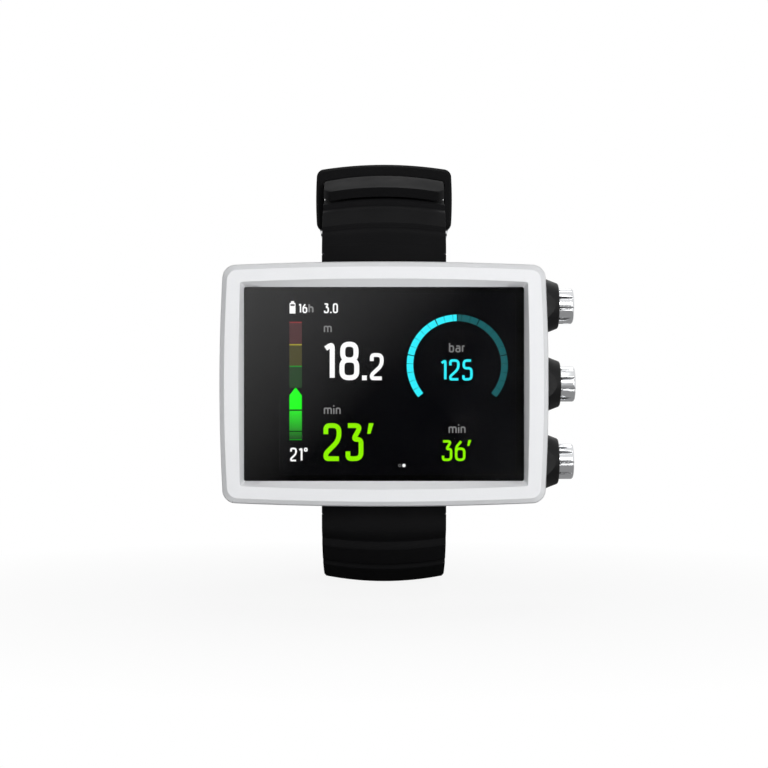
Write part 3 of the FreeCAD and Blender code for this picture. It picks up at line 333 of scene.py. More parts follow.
def fading_cells(top, bottom):
    """Lit cells that fade from bright green to dark green down the ascent bar."""
    made, tree, shader = new_material("lit_cells_fading", (0, 0, 0), 0.4, ior=1.5)
    shader.inputs["Emission Strength"].default_value = bpy.context.scene.dive_display.glow
    place = node(tree, "ShaderNodeTexCoord")
    parts = node(tree, "ShaderNodeSeparateXYZ", {"Vector": place.outputs["Object"]})
    ranged = node(tree, "ShaderNodeMapRange", {"Value": parts.outputs["Z"], "From Min": bottom,
                                               "From Max": top})
    tone = two_tone(tree, ranged.outputs["Result"], linear("#0B3A0D"), linear("#18E818"))
    tree.links.new(tone, shader.inputs["Emission Color"])
    return made


def polished_steel():
    """Turned and polished marine stainless steel: mirror-like, with faint lathe rings."""
    colour = bpy.context.scene.dive_hardware.steel_colour
    made, tree, shader = new_material("polished_stainless_steel", colour, 0.12, metallic=1.0)
    grain(tree, shader, 0.5 * MM, 0.0006 * MM, shade=0.03, stretch=(6, 1, 1))
    gloss_change(tree, shader, 2 * MM, 0.1, 0.16)
    return made


def brushed_steel():
    """Brushed stainless steel: fine scratches along X and a broad soft highlight."""
    colour = bpy.context.scene.dive_hardware.steel_colour
    made, tree, shader = new_material("brushed_stainless_steel", colour, 0.3, metallic=1.0)
    grain(tree, shader, 0.15 * MM, 0.004 * MM, shade=0.08, stretch=(0.04, 1, 1))
    return made


def blackened_steel():
    """Black-oxide steel screws: nearly black, with a low satin sheen."""
    made, tree, shader = new_material("black_oxide_steel", linear("#232325"), 0.4, metallic=1.0)
    grain(tree, shader, 0.2 * MM, 0.004 * MM, shade=0.15)
    return made


def nitrile_rubber():
    """Black nitrile rubber seals: dull, with a talc-fine grain."""
    made, tree, shader = new_material("nitrile_rubber", linear("#1B1B1B"), 0.7, ior=1.52)
    grain(tree, shader, 0.2 * MM, 0.01 * MM, shade=0.15)
    return made


def solder_mask():
    """Green solder mask on glass-epoxy board: glossy, with the weave just showing."""
    made, tree, shader = new_material("solder_mask_on_glass_epoxy", linear("#14502F"), 0.35,
                                      ior=1.55)
    grain(tree, shader, 0.4 * MM, 0.006 * MM, shade=0.15)
    return made


def moulding_compound():
    """Black epoxy moulding compound of chips and switches: matt and slightly speckled."""
    made, tree, shader = new_material("epoxy_moulding_compound", linear("#202022"), 0.6, ior=1.55)
    grain(tree, shader, 0.15 * MM, 0.006 * MM, shade=0.2)
    return made


def laminated_foil():
    """Aluminium laminate round the lithium cell: silvery and lightly creased."""
    made, tree, shader = new_material("laminated_aluminium_foil", linear("#B9BCC0"), 0.35,
                                      metallic=1.0)
    grain(tree, shader, 3 * MM, 0.05 * MM, shade=0.08)
    return made


def cast_magnesium():
    """Thixomoulded magnesium chassis: grey, with a fine blasted grain."""
    made, tree, shader = new_material("thixomoulded_magnesium", linear("#8E9093"), 0.5,
                                      metallic=1.0)
    grain(tree, shader, 0.3 * MM, 0.012 * MM, shade=0.12)
    return made


def rolled_brass():
    """Rolled brass disc of the buzzer: warm, with faint rolling lines."""
    made, tree, shader = new_material("rolled_brass", linear("#C9A45C"), 0.3, metallic=1.0)
    grain(tree, shader, 0.2 * MM, 0.004 * MM, shade=0.1, stretch=(0.1, 1, 1))
    return made


def gold_plating():
    """Hard gold plating on the charging pins: bright and warm, slightly worn."""
    made, tree, shader = new_material("hard_gold_plating", linear("#E2B95A"), 0.2, metallic=1.0)
    gloss_change(tree, shader, 0.8 * MM, 0.15, 0.35)
    return made


SHARED = {}                     # the materials made so far, by maker


def shared(maker):
    """A material that several pieces share, made once."""
    if maker not in SHARED:
        SHARED[maker] = maker()
    return SHARED[maker]


# ---- mesh helpers

def mesh_object(name, bm, material, smooth=SHARP_ANGLE):
    """A new object from a bmesh, with its normals outwards and its sharp edges marked."""
    bmesh.ops.recalc_face_normals(bm, faces=bm.faces)
    mesh = bpy.data.meshes.new(name)
    bm.to_mesh(mesh)
    bm.free()
    mesh.shade_smooth()
    mesh.set_sharp_from_angle(angle=math.radians(smooth))
    mesh.materials.append(material)
    made = bpy.data.objects.new(name, mesh)
    bpy.context.scene.collection.objects.link(made)
    return made


def soften(piece, width, segments=3, angle=30):
    """Round a piece's sharp edges."""
    bevel = piece.modifiers.new("edge_rounding", "BEVEL")
    bevel.width = width
    bevel.segments = segments
    bevel.limit_method = "ANGLE"
    bevel.angle_limit = math.radians(angle)
    bevel.harden_normals = True
    bevel.use_clamp_overlap = True
    return piece


def model_mesh(name):
    """A copy of a CAD piece's mesh, with the points that meet joined."""
    bm = bmesh.new()
    bm.from_mesh(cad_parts[name].data)
    bmesh.ops.remove_doubles(bm, verts=bm.verts, dist=0.001 * MM)
    return bm


def fit(piece, body, slot, *nodes):
    """Put a piece on its body, in the place of the CAD nodes named; slot is not used."""
    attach(piece, body)
    if nodes:
        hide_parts(*nodes)
    return piece


def loft(bm, loops, ring=False):
    """Skin a row of loops; a ring joins the last to the first, otherwise both ends are capped."""
    rows = [[bm.verts.new(point) for point in loop] for loop in loops]
    count = len(rows[0])
    pairs = list(zip(rows, rows[1:] + rows[:1] if ring else rows[1:]))
    for near, far in pairs:
        for i in range(count):
            j = (i + 1) % count
            bm.faces.new((near[i], near[j], far[j], far[i]))
    if not ring:
        bm.faces.new(rows[0])
        bm.faces.new(rows[-1])


def outline(half_width, half_height, side_bow, end_bow, radius, y, steps=18, corner_steps=8):
    """Points round a rectangle in the plane at y, with rounded corners and bowed sides."""
    points = []
    for sx, sz, start in ((1, 1, 0), (-1, 1, 90), (-1, -1, 180), (1, -1, 270)):
        centre = (sx * (half_width - radius), sz * (half_height - radius))
        for i in range(corner_steps + 1):
            angle = math.radians(start + 90 * i / corner_steps)
            points.append((centre[0] + radius * math.cos(angle),
                           centre[1] + radius * math.sin(angle)))
        here, there = points[-1], {0: (-(half_width - radius), half_height),
                                   90: (-half_width, -(half_height - radius)),
                                   180: (half_width - radius, -half_height),
                                   270: (half_width, half_height - radius)}[start]
        points += [(here[0] + (there[0] - here[0]) * i / steps,
                    here[1] + (there[1] - here[1]) * i / steps) for i in range(1, steps)]
    return [Vector((x + math.copysign(side_bow, x) * max(0, 1 - (z / half_height) ** 2), y,
                    z + math.copysign(end_bow, z) * max(0, 1 - (x / half_width) ** 2)))
            for x, z in points]


# ---- case

def case_half(inset):
    """Half width and half height of the straight-cornered case outline, set in."""
    settings = bpy.context.scene.dive_case
    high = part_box("bezel")[1]
    return (high.x - settings.side_bow - inset, high.z - settings.end_bow - inset)


def bezel_loops():
    """The bezel's outlines from its back edge round the front to its inner wall."""
    settings = bpy.context.scene.dive_case
    low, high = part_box("bezel")
    front, back = low.y, high.y
    glass_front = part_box("cover_glass")[0].y
    window = (case_half(settings.side_width + settings.slope_side)[0],
              case_half(settings.end_width + settings.slope_end)[1])
    lip = (case_half(settings.side_width)[0], case_half(settings.end_width)[1])
    outer, wall = case_half(0), case_half(settings.wall_draft)
    flat = case_half(settings.chamfer_width)
    bows = (settings.side_bow, settings.end_bow)
    inner_radius = settings.window_corner
    lip_bows = (settings.lip_side_bow, settings.lip_end_bow)
    pocket = settings.pocket
    return [
        outline(*outer, *bows, settings.corner, back),
        outline(*wall, *bows, settings.corner - settings.wall_draft / 2,
                front + settings.chamfer_depth),
        outline(*flat, *bows, settings.corner - settings.chamfer_width / 2, front),
        outline(*lip, *lip_bows, inner_radius, front),
        outline(*window, 0, 0, inner_radius, glass_front - settings.window_wall),
        outline(*window, 0, 0, inner_radius, glass_front),
        outline(window[0] + pocket, window[1] + pocket, 0, 0, inner_radius, glass_front),
        outline(window[0] + pocket, window[1] + pocket, 0, 0, inner_radius, back)]


def build_bezel():
    """The painted front ring."""
    bm = bmesh.new()
    loft(bm, bezel_loops(), ring=True)
    piece = mesh_object("front_bezel", bm, shared(painted_polycarbonate))
    soften(piece, bpy.context.scene.dive_case.edge)
    fit(piece, "case", "bezel", "bezel")


GLASS_EDGE = 0.1 * MM           # rounding of the glass's edges


def build_glass():
    """The cover glass, with depth left behind it for the ink and the display."""
    low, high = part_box("cover_glass")
    corner = bpy.context.scene.dive_case.window_corner
    back = high.y - bpy.context.scene.dive_display.stack
    bm = bmesh.new()
    loft(bm, [outline(high.x, high.z, 0, 0, corner, y) for y in (low.y, back)])
    glass = soften(mesh_object("cover_glass_plate", bm, shared(strengthened_glass)), GLASS_EDGE)
    fit(glass, "case", "glass", "cover_glass")


def plate(name, x0, x1, z0, z1, y0, y1, material, edge=0.02 * MM):
    """A thin plate with broken edges."""
    bm = bmesh.new()
    corners = ((x0, z0), (x1, z0), (x1, z1), (x0, z1))
    loft(bm, [[Vector((x, y, z)) for x, z in corners] for y in (y0, y1)])
    return soften(mesh_object(name, bm, material), edge, segments=1)


# ---- readout

INK = 0.06 * MM                 # thickness of everything that the display shows
INK_GAP = 0.1 * MM              # gap between that and the display panel
FACE_LIFT = 0.03 * MM           # how far the display's face stands off its panel
BORDER = 0.1 * MM               # thickness of the ink border
BORDER_RIM = 0.5 * MM           # bare glass outside the ink border
BORDER_CORNER = 0.3 * MM        # radius of the border's inner corners
LETTER_GAP = 0.11               # gap between letters, as a share of their height
LETTER_BEND = 0.17              # radius of a stroke's bends, as a share of the height
BEND_REACH = 0.48               # how much of a straight one bend may take
MITRE_LIMIT = 0.5               # keeps a sharp corner's mitre from running out

# Each letter: its width as a share of its height, then its strokes in a unit box
GLYPHS = {
    "0": (0.46, [("loop", (0, 0), (1, 0), (1, 1), (0, 1))]),
    "1": (0.27, [("line", (0, 0.87), (1, 1), (1, 0))]),
    "2": (0.46, [("line", (0, 0.74), (0, 1), (1, 1), (1, 0.56), (0, 0.16), (0, 0), (1, 0))]),
    "3": (0.46, [("line", (0, 1), (1, 1), (0.42, 0.58), (1, 0.58), (1, 0), (0, 0), (0, 0.22))]),
    "5": (0.46, [("line", (0.94, 1), (0.06, 1), (0.02, 0.58), (1, 0.6), (1, 0), (0, 0),
                  (0, 0.22))]),
    "6": (0.46, [("loop", (0, 0), (1, 0), (1, 0.6), (0, 0.6)),
                 ("line", (0, 0.4), (0, 0.68), (0.62, 1))]),
    "8": (0.46, [("loop", (0, 0), (1, 0), (1, 0.53), (0, 0.53)),
                 ("loop", (0.05, 0.53), (0.95, 0.53), (0.95, 1), (0.05, 1))]),
    ".": (0.13, [("dot", (0.5, 0))]),
    "h": (0.4, [("line", (0, 0), (0, 1)), ("line", (0, 0.4), (0, 0.66), (1, 0.66), (1, 0))]),
    "m": (0.66, [("line", (0, 0), (0, 0.66)), ("line", (0, 0.4), (0, 0.66), (0.5, 0.66), (0.5, 0)),
                 ("line", (0.5, 0.4), (0.5, 0.66), (1, 0.66), (1, 0))]),
    "i": (0.1, [("line", (0.5, 0), (0.5, 0.66)), ("dot", (0.5, 0.92))]),
    "n": (0.4, [("line", (0, 0), (0, 0.66)), ("line", (0, 0.4), (0, 0.66), (1, 0.66), (1, 0))]),
    "b": (0.4, [("line", (0, 0), (0, 1)), ("loop", (0, 0), (1, 0), (1, 0.66), (0, 0.66))]),
    "a": (0.4, [("loop", (0, 0), (1, 0), (1, 0.4), (0, 0.4)),
                ("line", (1, 0), (1, 0.66), (0.08, 0.66))]),
    "r": (0.26, [("line", (0, 0), (0, 0.66)), ("line", (0, 0.4), (0, 0.66), (1, 0.66))]),
    "'": (0.17, [("shape", (0.25, 1), (1, 1), (0.5, 0.72), (0, 0.72))]),
    "o": (0.16, [("loop", (0, 0.78), (1, 0.78), (1, 1), (0, 1))]),
}


def rounded(points, radius, closed):
    """A path whose corners are arcs."""
    count = len(points)
    path = []
    for i, here in enumerate(points):
        if not closed and i in (0, count - 1):
            path.append(here)
            continue
        before, after = points[i - 1], points[(i + 1) % count]
        back, ahead = (before - here), (after - here)
        reach = min(radius, back.length * BEND_REACH, ahead.length * BEND_REACH)
        start, end = here + back.normalized() * reach, here + ahead.normalized() * reach
        for k in range(BEND_STEPS + 1):
            t = k / BEND_STEPS
            path.append(start * (1 - t) ** 2 + here * (2 * t * (1 - t)) + end * t ** 2)
    return path


def ribbon(bm, path, width, closed, y0, y1):
    """A flat stroke of one width along a path of (x, z) points."""
    count = len(path)
    sides = []
    for i, here in enumerate(path):
        before = path[i - 1] if closed or i else here
        after = path[(i + 1) % count] if closed or i < count - 1 else here
        one = (here - before).normalized() if before != here else (after - here).normalized()
        two = (after - here).normalized() if after != here else one
        way = (one + two).normalized()
        normal = Vector((-way.y, way.x)) / max(MITRE_LIMIT, way.dot(one))
        sides.append((here + normal * width / 2, here - normal * width / 2))
    rows = [[bm.verts.new((p.x, y, p.y)) for p, y in ((a, y0), (b, y0), (b, y1), (a, y1))]
            for a, b in sides]
    links = list(zip(rows, rows[1:])) + ([(rows[-1], rows[0])] if closed else [])
    for near, far in links:
        for k in range(4):
            m = (k + 1) % 4
            bm.faces.new((near[k], near[m], far[m], far[k]))
    if not closed:
        bm.faces.new(rows[0])
        bm.faces.new(rows[-1])


def ink_levels(thickness=INK):
    """Front and back of a layer that lies in front of the display panel."""
    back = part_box("display_panel")[0].y - INK_GAP
    return back - thickness, back


def lettering(name, text, left, right, base, height, material, stroke):
    """Digits or unit marks, fitted between left and right, as one piece.

    stroke is the width of a line as a share of the height.
    """
    line = height * stroke
    widths = [GLYPHS[c][0] * height for c in text]
    gap = LETTER_GAP * height
    natural = sum(widths) + gap * (len(text) - 1)
    squeeze = (right - left) / natural
    y0, y1 = ink_levels()
    bm = bmesh.new()
    x = left
    for c, width in zip(text, widths):
        size = Vector((width * squeeze - line, height - line))
        corner = Vector((x + line / 2, base + line / 2))
        if GLYPHS[c][1][0][0] == "shape":
            size, corner = Vector((width * squeeze, height)), Vector((x, base))
        for kind, *points in GLYPHS[c][1]:
            spots = [corner + Vector((px * size.x, pz * size.y)) for px, pz in points]
            if kind == "shape":
                loft(bm, [[Vector((p.x, y, p.y)) for p in spots] for y in (y0, y1)])
            elif kind == "dot":
                half = Vector((0, line / 2))
                ribbon(bm, [spots[0] - half, spots[0] + half], line, False, y0, y1)
            else:
                closed = kind == "loop"
                ribbon(bm, rounded(spots, LETTER_BEND * height, closed), line, closed, y0, y1)
        x += (width + gap) * squeeze
    fit(mesh_object(name, bm, material), "case", "display")


def flat_shape(name, outlines, material):
    """Flat shapes on the display, given in mm as (x, z) outlines, as one piece."""
    bm = bmesh.new()
    for points in outlines:
        loft(bm, [[Vector((x * MM, y, z * MM)) for x, z in points] for y in ink_levels()])
    fit(mesh_object(name, bm, material), "case", "display")


def bar(x0, x1, z0, z1):
    """The corners of an upright rectangle."""
    return [(x0, z0), (x1, z0), (x1, z1), (x0, z1)]


RING_STEPS, GAUGE_STEPS = 24, 6             # steps round a small ring, and along a gauge step


def arc_band(name, centre, radius, width, start, end, material, count):
    """A flat arc, in degrees anticlockwise from +X."""
    path = [centre + Vector((math.cos(math.radians(a)), math.sin(math.radians(a)))) * radius
            for a in (start + (end - start) * i / count for i in range(count + 1))]
    bm = bmesh.new()
    ribbon(bm, path, width, False, *ink_levels())
    fit(mesh_object(name, bm, material), "case", "display")


def build_readout():
    """Display face, ink border, digits, gauge and ascent bar."""
    settings = bpy.context.scene.dive_display
    low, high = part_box("display_panel")
    glass_low, glass_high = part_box("cover_glass")
    panel = plate("display_face", low.x, high.x, low.z, high.z, low.y - FACE_LIFT, high.y,
                  shared(display_layer))
    fit(panel, "case", "display", "display_panel")
    middle = (low.x + high.x) / 2
    inner = [Vector((p.x + middle, 0, p.z)) for p in
             outline((high.x - low.x) / 2, high.z, 0, 0, BORDER_CORNER, 0)]
    outer = outline(glass_high.x - BORDER_RIM, glass_high.z - BORDER_RIM, 0, 0,
                    bpy.context.scene.dive_case.window_corner, 0)
    y0, y1 = ink_levels(BORDER)
    bm = bmesh.new()
    loft(bm, [[Vector((p.x, y, p.z)) for p in loop]
              for loop, y in ((outer, y0), (inner, y0), (inner, y1), (outer, y1))], ring=True)
    fit(mesh_object("ink_border", bm, shared(printed_ink)), "case", "glass")
    build_light_windows(glass_low.x)
    build_digits(settings)
    build_gauge(settings)
    build_ascent_bar()


def build_light_windows(glass_side):
    """Rings at two small windows in the ink, which glow with painted light."""
    # painted glow: these grey rings give off light of their own, like lit cells, though nothing
    # behind them shines
    grey = lit_cells("painted_glow_ring", linear("#3C3C3C"))
    inset, radius, width, start, end = 2.75 * MM, 0.85 * MM, 0.28 * MM, 50, 310
    for name, z in (("upper", 23.1), ("lower", -16.4)):
        spot = Vector((glass_side + inset, z * MM))
        arc_band("light_window_" + name, spot, radius, width, start, end, grey, RING_STEPS)


def build_digits(settings):
    """Every number and unit mark."""
    white = lit_cells("white", settings.white)
    green = lit_cells("green", settings.green)
    cyan = lit_cells("cyan", settings.cyan)
    grey = lit_cells("grey", settings.grey)
    # name, text, left, right, base and height in mm, material, stroke
    rows = [("charge_digits", "16", -24.9, -22.3, 20.6, 2.8, white, 0.15),
            ("charge_unit", "h", -22.0, -20.5, 20.6, 2.8, grey, 0.17),
            ("stop_digits", "3.0", -17.5, -13.4, 20.6, 2.9, white, 0.15),
            ("depth_unit", "m", -17.5, -15.2, 14.9, 2.9, grey, 0.13),
            ("depth_digits", "18", -17.7, -7.2, 1.1, 11.2, white, 0.13),
            ("depth_point", ".", -6.4, -5.0, 1.1, 9.0, white, 0.155),
            ("depth_tenths", "2", -4.1, -0.1, 1.1, 7.9, white, 0.14),
            ("tank_unit", "bar", 18.9, 23.6, 9.2, 2.9, grey, 0.13),
            ("tank_digits", "125", 16.4, 25.8, 1.0, 6.2, cyan, 0.12),
            ("time_unit", "min", -17.5, -12.6, -8.9, 2.9, grey, 0.13),
            ("time_digits", "23", -17.6, -6.0, -22.4, 11.0, green, 0.125),
            ("time_mark", "'", -4.9, -3.0, -22.4, 11.0, green, 0.11),
            ("limit_unit", "min", 18.8, 23.7, -14.4, 2.9, grey, 0.13),
            ("limit_digits", "36", 16.8, 23.7, -22.4, 6.1, green, 0.12),
            ("limit_mark", "'", 24.2, 25.4, -22.4, 6.1, green, 0.11),
            ("heat_digits", "21", -27.3, -23.7, -22.5, 4.0, white, 0.13),
            ("heat_mark", "o", -23.3, -22.2, -22.5, 4.0, white, 0.1)]
    for name, text, left, right, base, height, material, stroke in rows:
        lettering(name, text, left * MM, right * MM, base * MM, height * MM, material, stroke)
    build_charge_icon(white)
    dot, step, full = Vector((5.8 * MM, -23.7 * MM)), Vector((1.2 * MM, 0)), 359
    arc_band("page_dot_shown", dot, 0.25 * MM, 0.48 * MM, 0, full, white, RING_STEPS)
    arc_band("page_dot_other", dot - step, 0.36 * MM, 0.14 * MM, 0, full, grey, RING_STEPS)


def build_charge_icon(white):
    """The small battery: its charge, its two sides and its shoulders, in mm."""
    left, right, line, neck = -27.45, -25.75, 0.25, 0.4
    foot, level, shoulder, top = 20.5, 22.7, 23.2, 24.1
    shoulders = [(left, shoulder), (right, shoulder), (right, shoulder + line),
                 (right - neck, shoulder + 2 * line), (right - neck, top), (left + neck, top),
                 (left + neck, shoulder + 2 * line), (left, shoulder + line)]
    flat_shape("charge_icon", [bar(left, right, foot, level),
                               bar(left, left + line, level, shoulder),
                               bar(right - line, right, level, shoulder), shoulders], white)


def build_gauge(settings):
    """The round gauge, in degrees: 25 steps of a scale, lit up to the value and dim past it."""
    centre = Vector((21.3 * MM, 5.5 * MM))
    width = 1.9 * MM
    radius = 14.7 * MM - width / 2
    cyan = lit_cells("gauge_bright", settings.cyan)
    teal = lit_cells("gauge_dim", settings.teal)
    top, steps, step, value, wide, narrow = 220, 25, 10.4, 90, 1.1, 0.4
    edges = [(top - step * i, wide if i % 5 == 0 else narrow) for i in range(steps + 1)]
    edges = sorted(edges + [(value, wide)], reverse=True)
    for i, ((start, gap), (end, next_gap)) in enumerate(zip(edges, edges[1:])):
        lit = end >= value
        arc_band("gauge_%s_%d" % ("lit" if lit else "used", i), centre, radius, width,
                 end + next_gap / 2, start - gap / 2, cyan if lit else teal, GAUGE_STEPS)


def build_ascent_bar():
    """The coloured bar with its arrow, in mm."""
    left, right, line = -27.5, -23.9, 0.35
    rows = [("fast", 11.6, 18.1, "#4A2A2C", "#8A2A2E"), ("brisk", 5.3, 11.6, "#45421F", "#A39A20"),
            ("steady", -1.1, 5.3, "#1F3F20", "#128A22")]
    for name, foot, head, dim, bright in rows:
        flat_shape("bar_" + name, [bar(left, right, foot, head - line)],
                   lit_cells(name, linear(dim)))
        flat_shape("bar_%s_edge" % name, [bar(left, right, head - line, head)],
                   lit_cells(name + "_edge", linear(bright)))
    middle, blunt = (left + right) / 2, 0.2
    foot, shoulder, tip, end = -7.4, -3.3, -1.2, -16.0
    arrow = [(left, foot), (right, foot), (right, shoulder), (middle + blunt, tip),
             (middle - blunt, tip), (left, shoulder)]
    flat_shape("bar_arrow", [arrow], lit_cells("bar", linear("#18FF18")))
    stretches = ((-13.6, -7.8), (-15.9, -13.9))
    flat_shape("bar_fade", [bar(left, right, *stretch) for stretch in stretches],
               fading_cells(foot * MM, end * MM))
    flat_shape("bar_foot", [bar(left, right, -16.3, end)], lit_cells("foot", linear("#149A1A")))


# ---- strap: straight runs and tangent bends in the YZ plane, at the strap's inner edge

# Raised blocks in mm: where each starts, where its end chamfer starts and ends, its thickness
UPPER_BLOCKS = [(0, 5.2, 7.3, 5.0), (7.3, 15.4, 18.0, 4.2), (18.0, 35.5, 37.1, 4.8)]
LOWER_BLOCKS = [(0, 6.0, 8.1, 5.0), (8.1, 15.8, 17.4, 5.0), (17.4, 29.4, 31.2, 5.0),
                (31.2, 42.4, 44.2, 4.8)]
CROSSING = 19                   # the long route's piece that bends where the halves cross
SLOTS = range(-6, 3)            # places of the slots, counted from the one that the tang uses
FIT = 0.05 * MM                 # play round a pin
ACROSS = 16                     # steps across the strap
EDGE_STEPS = 4                  # steps round its long edges
EDGE_LIMIT = 0.45               # the most of the thickness that such an edge takes
EASE = 0.25 * MM                # how far a change of thickness is rounded
EASE_STEP, EASE_STEPS = 0.15 * MM, 4        # loops on each side of such a change
RUN_STEP, BEND_STEP = 4 * MM, 1.4 * MM      # longest step along a run, and round a bend
LEAST_STEP = 0.05 * MM
NOSE_STEP, NOSE_STEPS = 8, 11               # degrees and loops round the bar's end


def strap_routes():
    """(y, z, bend radius) points of the short and the long half, as in the model."""
    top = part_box("strap_upper")[0].z
    bottom = -top
    settings = bpy.context.scene.dive_strap
    keeper_band = settings.keeper_band
    up = [(0, 0, 0), (0, 6.5, 2), (8, 13.5, 8), (29.5, 18.2, 12), (50, 18.2, 20), (69, 13.1, 0)]
    upper = [(y * MM, top + z * MM, r * MM) for y, z, r in up]
    tail = upper[3][1] + keeper_band + settings.tail_gap
    down = [(0, 0, 0), (0, -6.8, 5), (7.7, -13.5, 12), (18.7, -18.1, 30), (42, -21.4, 60),
            (66, -16.5, 34), (81, -1, 34), (87, 24, 60)]
    back = [(87, -22, 60), (83, -2, 30), (71, 19.3, 8)]
    lower = [(y * MM, bottom + z * MM, r * MM) for y, z, r in down]
    lower += [(y * MM, top + z * MM, r * MM) for y, z, r in back]
    lower += [(50.9 * MM, tail, 26 * MM), (23.5 * MM, tail, 20 * MM),
              (9.7 * MM, tail - settings.tail_drop, 0)]
    return route(upper, 1), route(lower, -1)


def turned(vector, angle):
    """A (y, z) vector turned from +Y towards +Z."""
    return Vector((vector.x * math.cos(angle) - vector.y * math.sin(angle),
                   vector.x * math.sin(angle) + vector.y * math.cos(angle)))


def route(points, side):
    """Runs and bends through the points; side is where outwards lies."""
    pieces = []
    here = Vector(points[0][:2])
    for i in range(1, len(points)):
        corner = Vector(points[i][:2])
        ahead = (corner - Vector(points[i - 1][:2])).normalized()
        if i == len(points) - 1:
            pieces.append((here, ahead, (corner - here).length, None, 0))
            break
        after = (Vector(points[i + 1][:2]) - corner).normalized()
        turn = math.atan2(ahead.x * after.y - ahead.y * after.x, ahead.dot(after))
        radius = points[i][2]
        tangent = radius * math.tan(abs(turn) / 2)
        start = corner - ahead * tangent
        pieces.append((here, ahead, (start - here).length, None, 0))
        inward = Vector((-ahead.y, ahead.x)) * math.copysign(radius, turn)
        pieces.append((start, ahead, radius * abs(turn), start + inward, turn))
        here = corner + after * tangent
    ends = [sum(p[2] for p in pieces[:i]) for i in range(len(pieces) + 1)]
    return {"pieces": pieces, "ends": ends, "side": side}


def frame_at(line, s):
    """Position, heading and outward direction, as (y, z) vectors, at arc length s."""
    i = next((k for k in range(len(line["pieces"])) if s < line["ends"][k + 1] - TINY),
             len(line["pieces"]) - 1)
    start, heading, reach, centre, turn = line["pieces"][i]
    along = s - line["ends"][i]
    if centre is None:
        position = start + heading * along
    else:
        angle = turn * along / reach
        position = centre + turned(start - centre, angle)
        heading = turned(heading, angle)
    return position, heading, Vector((-heading.y, heading.x)) * line["side"]


def section(line, s, low, high, half):
    """The strap's crowned section at s, with rounded long edges."""
    settings = bpy.context.scene.dive_strap
    position, _, out = frame_at(line, s)
    radius = min(settings.edge, (high - low) * EDGE_LIMIT)

    def at(x, offset):
        offset += settings.crown * (1 - (x / (settings.width / 2)) ** 2)
        return Vector((x, position.x + out.x * offset, position.y + out.y * offset))

    inside = half - radius
    points = [at(-inside + 2 * inside * i / ACROSS, high) for i in range(ACROSS + 1)]
    bend = [math.radians(90 * k / EDGE_STEPS) for k in range(EDGE_STEPS + 1)]
    points += [at(inside + radius * math.sin(a), high - radius + radius * math.cos(a))
               for a in bend[1:]]
    points += [at(inside + radius * math.cos(a), low + radius - radius * math.sin(a))
               for a in bend]
    points += [at(inside - 2 * inside * i / ACROSS, low) for i in range(1, ACROSS + 1)]
    points += [at(-inside - radius * math.sin(a), low + radius - radius * math.cos(a))
               for a in bend[1:]]
    points += [at(-inside - radius * math.cos(a), high - radius + radius * math.sin(a))
               for a in bend[:-1]]
    return points


def thickness_at(stations, s):
    """Thickness between (s, thickness) stations."""
    for (s0, t0), (s1, t1) in zip(stations, stations[1:]):
        if s <= s1:
            return t0 + (t1 - t0) * (s - s0) / (s1 - s0)
    return stations[-1][1]


def block_stations(blocks, then):
    """Stations of raised blocks given as (start, chamfer start, end, thickness), in mm."""
    settings = bpy.context.scene.dive_strap
    lead = settings.block_lead
    stations = [(blocks[0][0] * MM, blocks[0][3] * MM), (blocks[0][1] * MM, blocks[0][3] * MM)]
    for start, chamfer, _, thick in blocks[1:]:
        stations += [(start * MM, settings.groove), (start * MM + lead, thick * MM),
                     (chamfer * MM, thick * MM)]
    end = blocks[-1][2] * MM
    return stations + [(end, settings.groove), (end + lead, then)]


def strap_mesh(line, stations, last, nose=0.0, corner=0.0):
    """Sweep the section along the route, with its changes of thickness slightly rounded.

    nose is the radius of a rounded end round the bar; corner chamfers the end's two corners.
    """
    settings = bpy.context.scene.dive_strap
    places = {0.0, last}
    for s, _ in stations:
        places |= {s + k * EASE_STEP for k in range(-EASE_STEPS, EASE_STEPS + 1)}
    for (start, end), piece in zip(zip(line["ends"], line["ends"][1:]), line["pieces"]):
        step = RUN_STEP if piece[3] is None else BEND_STEP
        count = max(1, math.ceil((end - start) / step))
        places |= {start + (end - start) * i / count for i in range(count + 1)}
    ordered = sorted(s for s in places if 0 <= s <= last)
    kept = [ordered[0]]
    for s in ordered[1:]:
        if s - kept[-1] > LEAST_STEP:
            kept.append(s)
    bm = bmesh.new()
    loops = []
    half = settings.width / 2
    for s in kept:
        thick = sum(thickness_at(stations, max(0, s + k * EASE)) for k in (-1, 0, 0, 1)) / 4
        narrower = max(0, s - (line["ends"][-1] - corner)) if corner else 0
        loops.append(section(line, s, 0, thick, half - narrower))
    if nose:
        for angle in (math.radians(NOSE_STEP * k) for k in range(1, NOSE_STEPS + 1)):
            rise = nose * math.cos(angle)
            loops.append(section(line, last + nose * math.sin(angle), nose - rise,
                                 min(stations[-1][1], nose + rise), half))
    loft(bm, loops)
    return bm


def slot_cutter(line, places):
    """Round-ended bars that pierce the strap at each place, as one mesh."""
    settings = bpy.context.scene.dive_strap
    bm = bmesh.new()
    radius = settings.slot_width / 2
    straight = settings.slot_length / 2 - radius
    levels, steps = (-6 * MM, 10 * MM), 8
    for s in places:
        position, heading, out = frame_at(line, s)
        rim = []
        for side in (1, -1):
            for k in range(steps + 1):
                angle = math.radians(-90 + 180 * k / steps)
                rim.append((side * radius * math.sin(angle),
                            side * (straight + radius * math.cos(angle))))
        loops = []
        for level in levels:
            loops.append([Vector((x, position.x + heading.x * a + out.x * level,
                                  position.y + heading.y * a + out.y * level))
                          for x, a in rim])
        loft(bm, loops)
    return mesh_object("slot_cutter", bm, shared(silicone_rubber))


def box_cutter(low, high):
    """A box between two corners, for cutting."""
    bm = bmesh.new()
    corners = ((low[0], low[2]), (high[0], low[2]), (high[0], high[2]), (low[0], high[2]))
    loft(bm, [[Vector((x, y, z)) for x, z in corners] for y in (low[1], high[1])])
    return mesh_object("box_cutter", bm, shared(silicone_rubber))


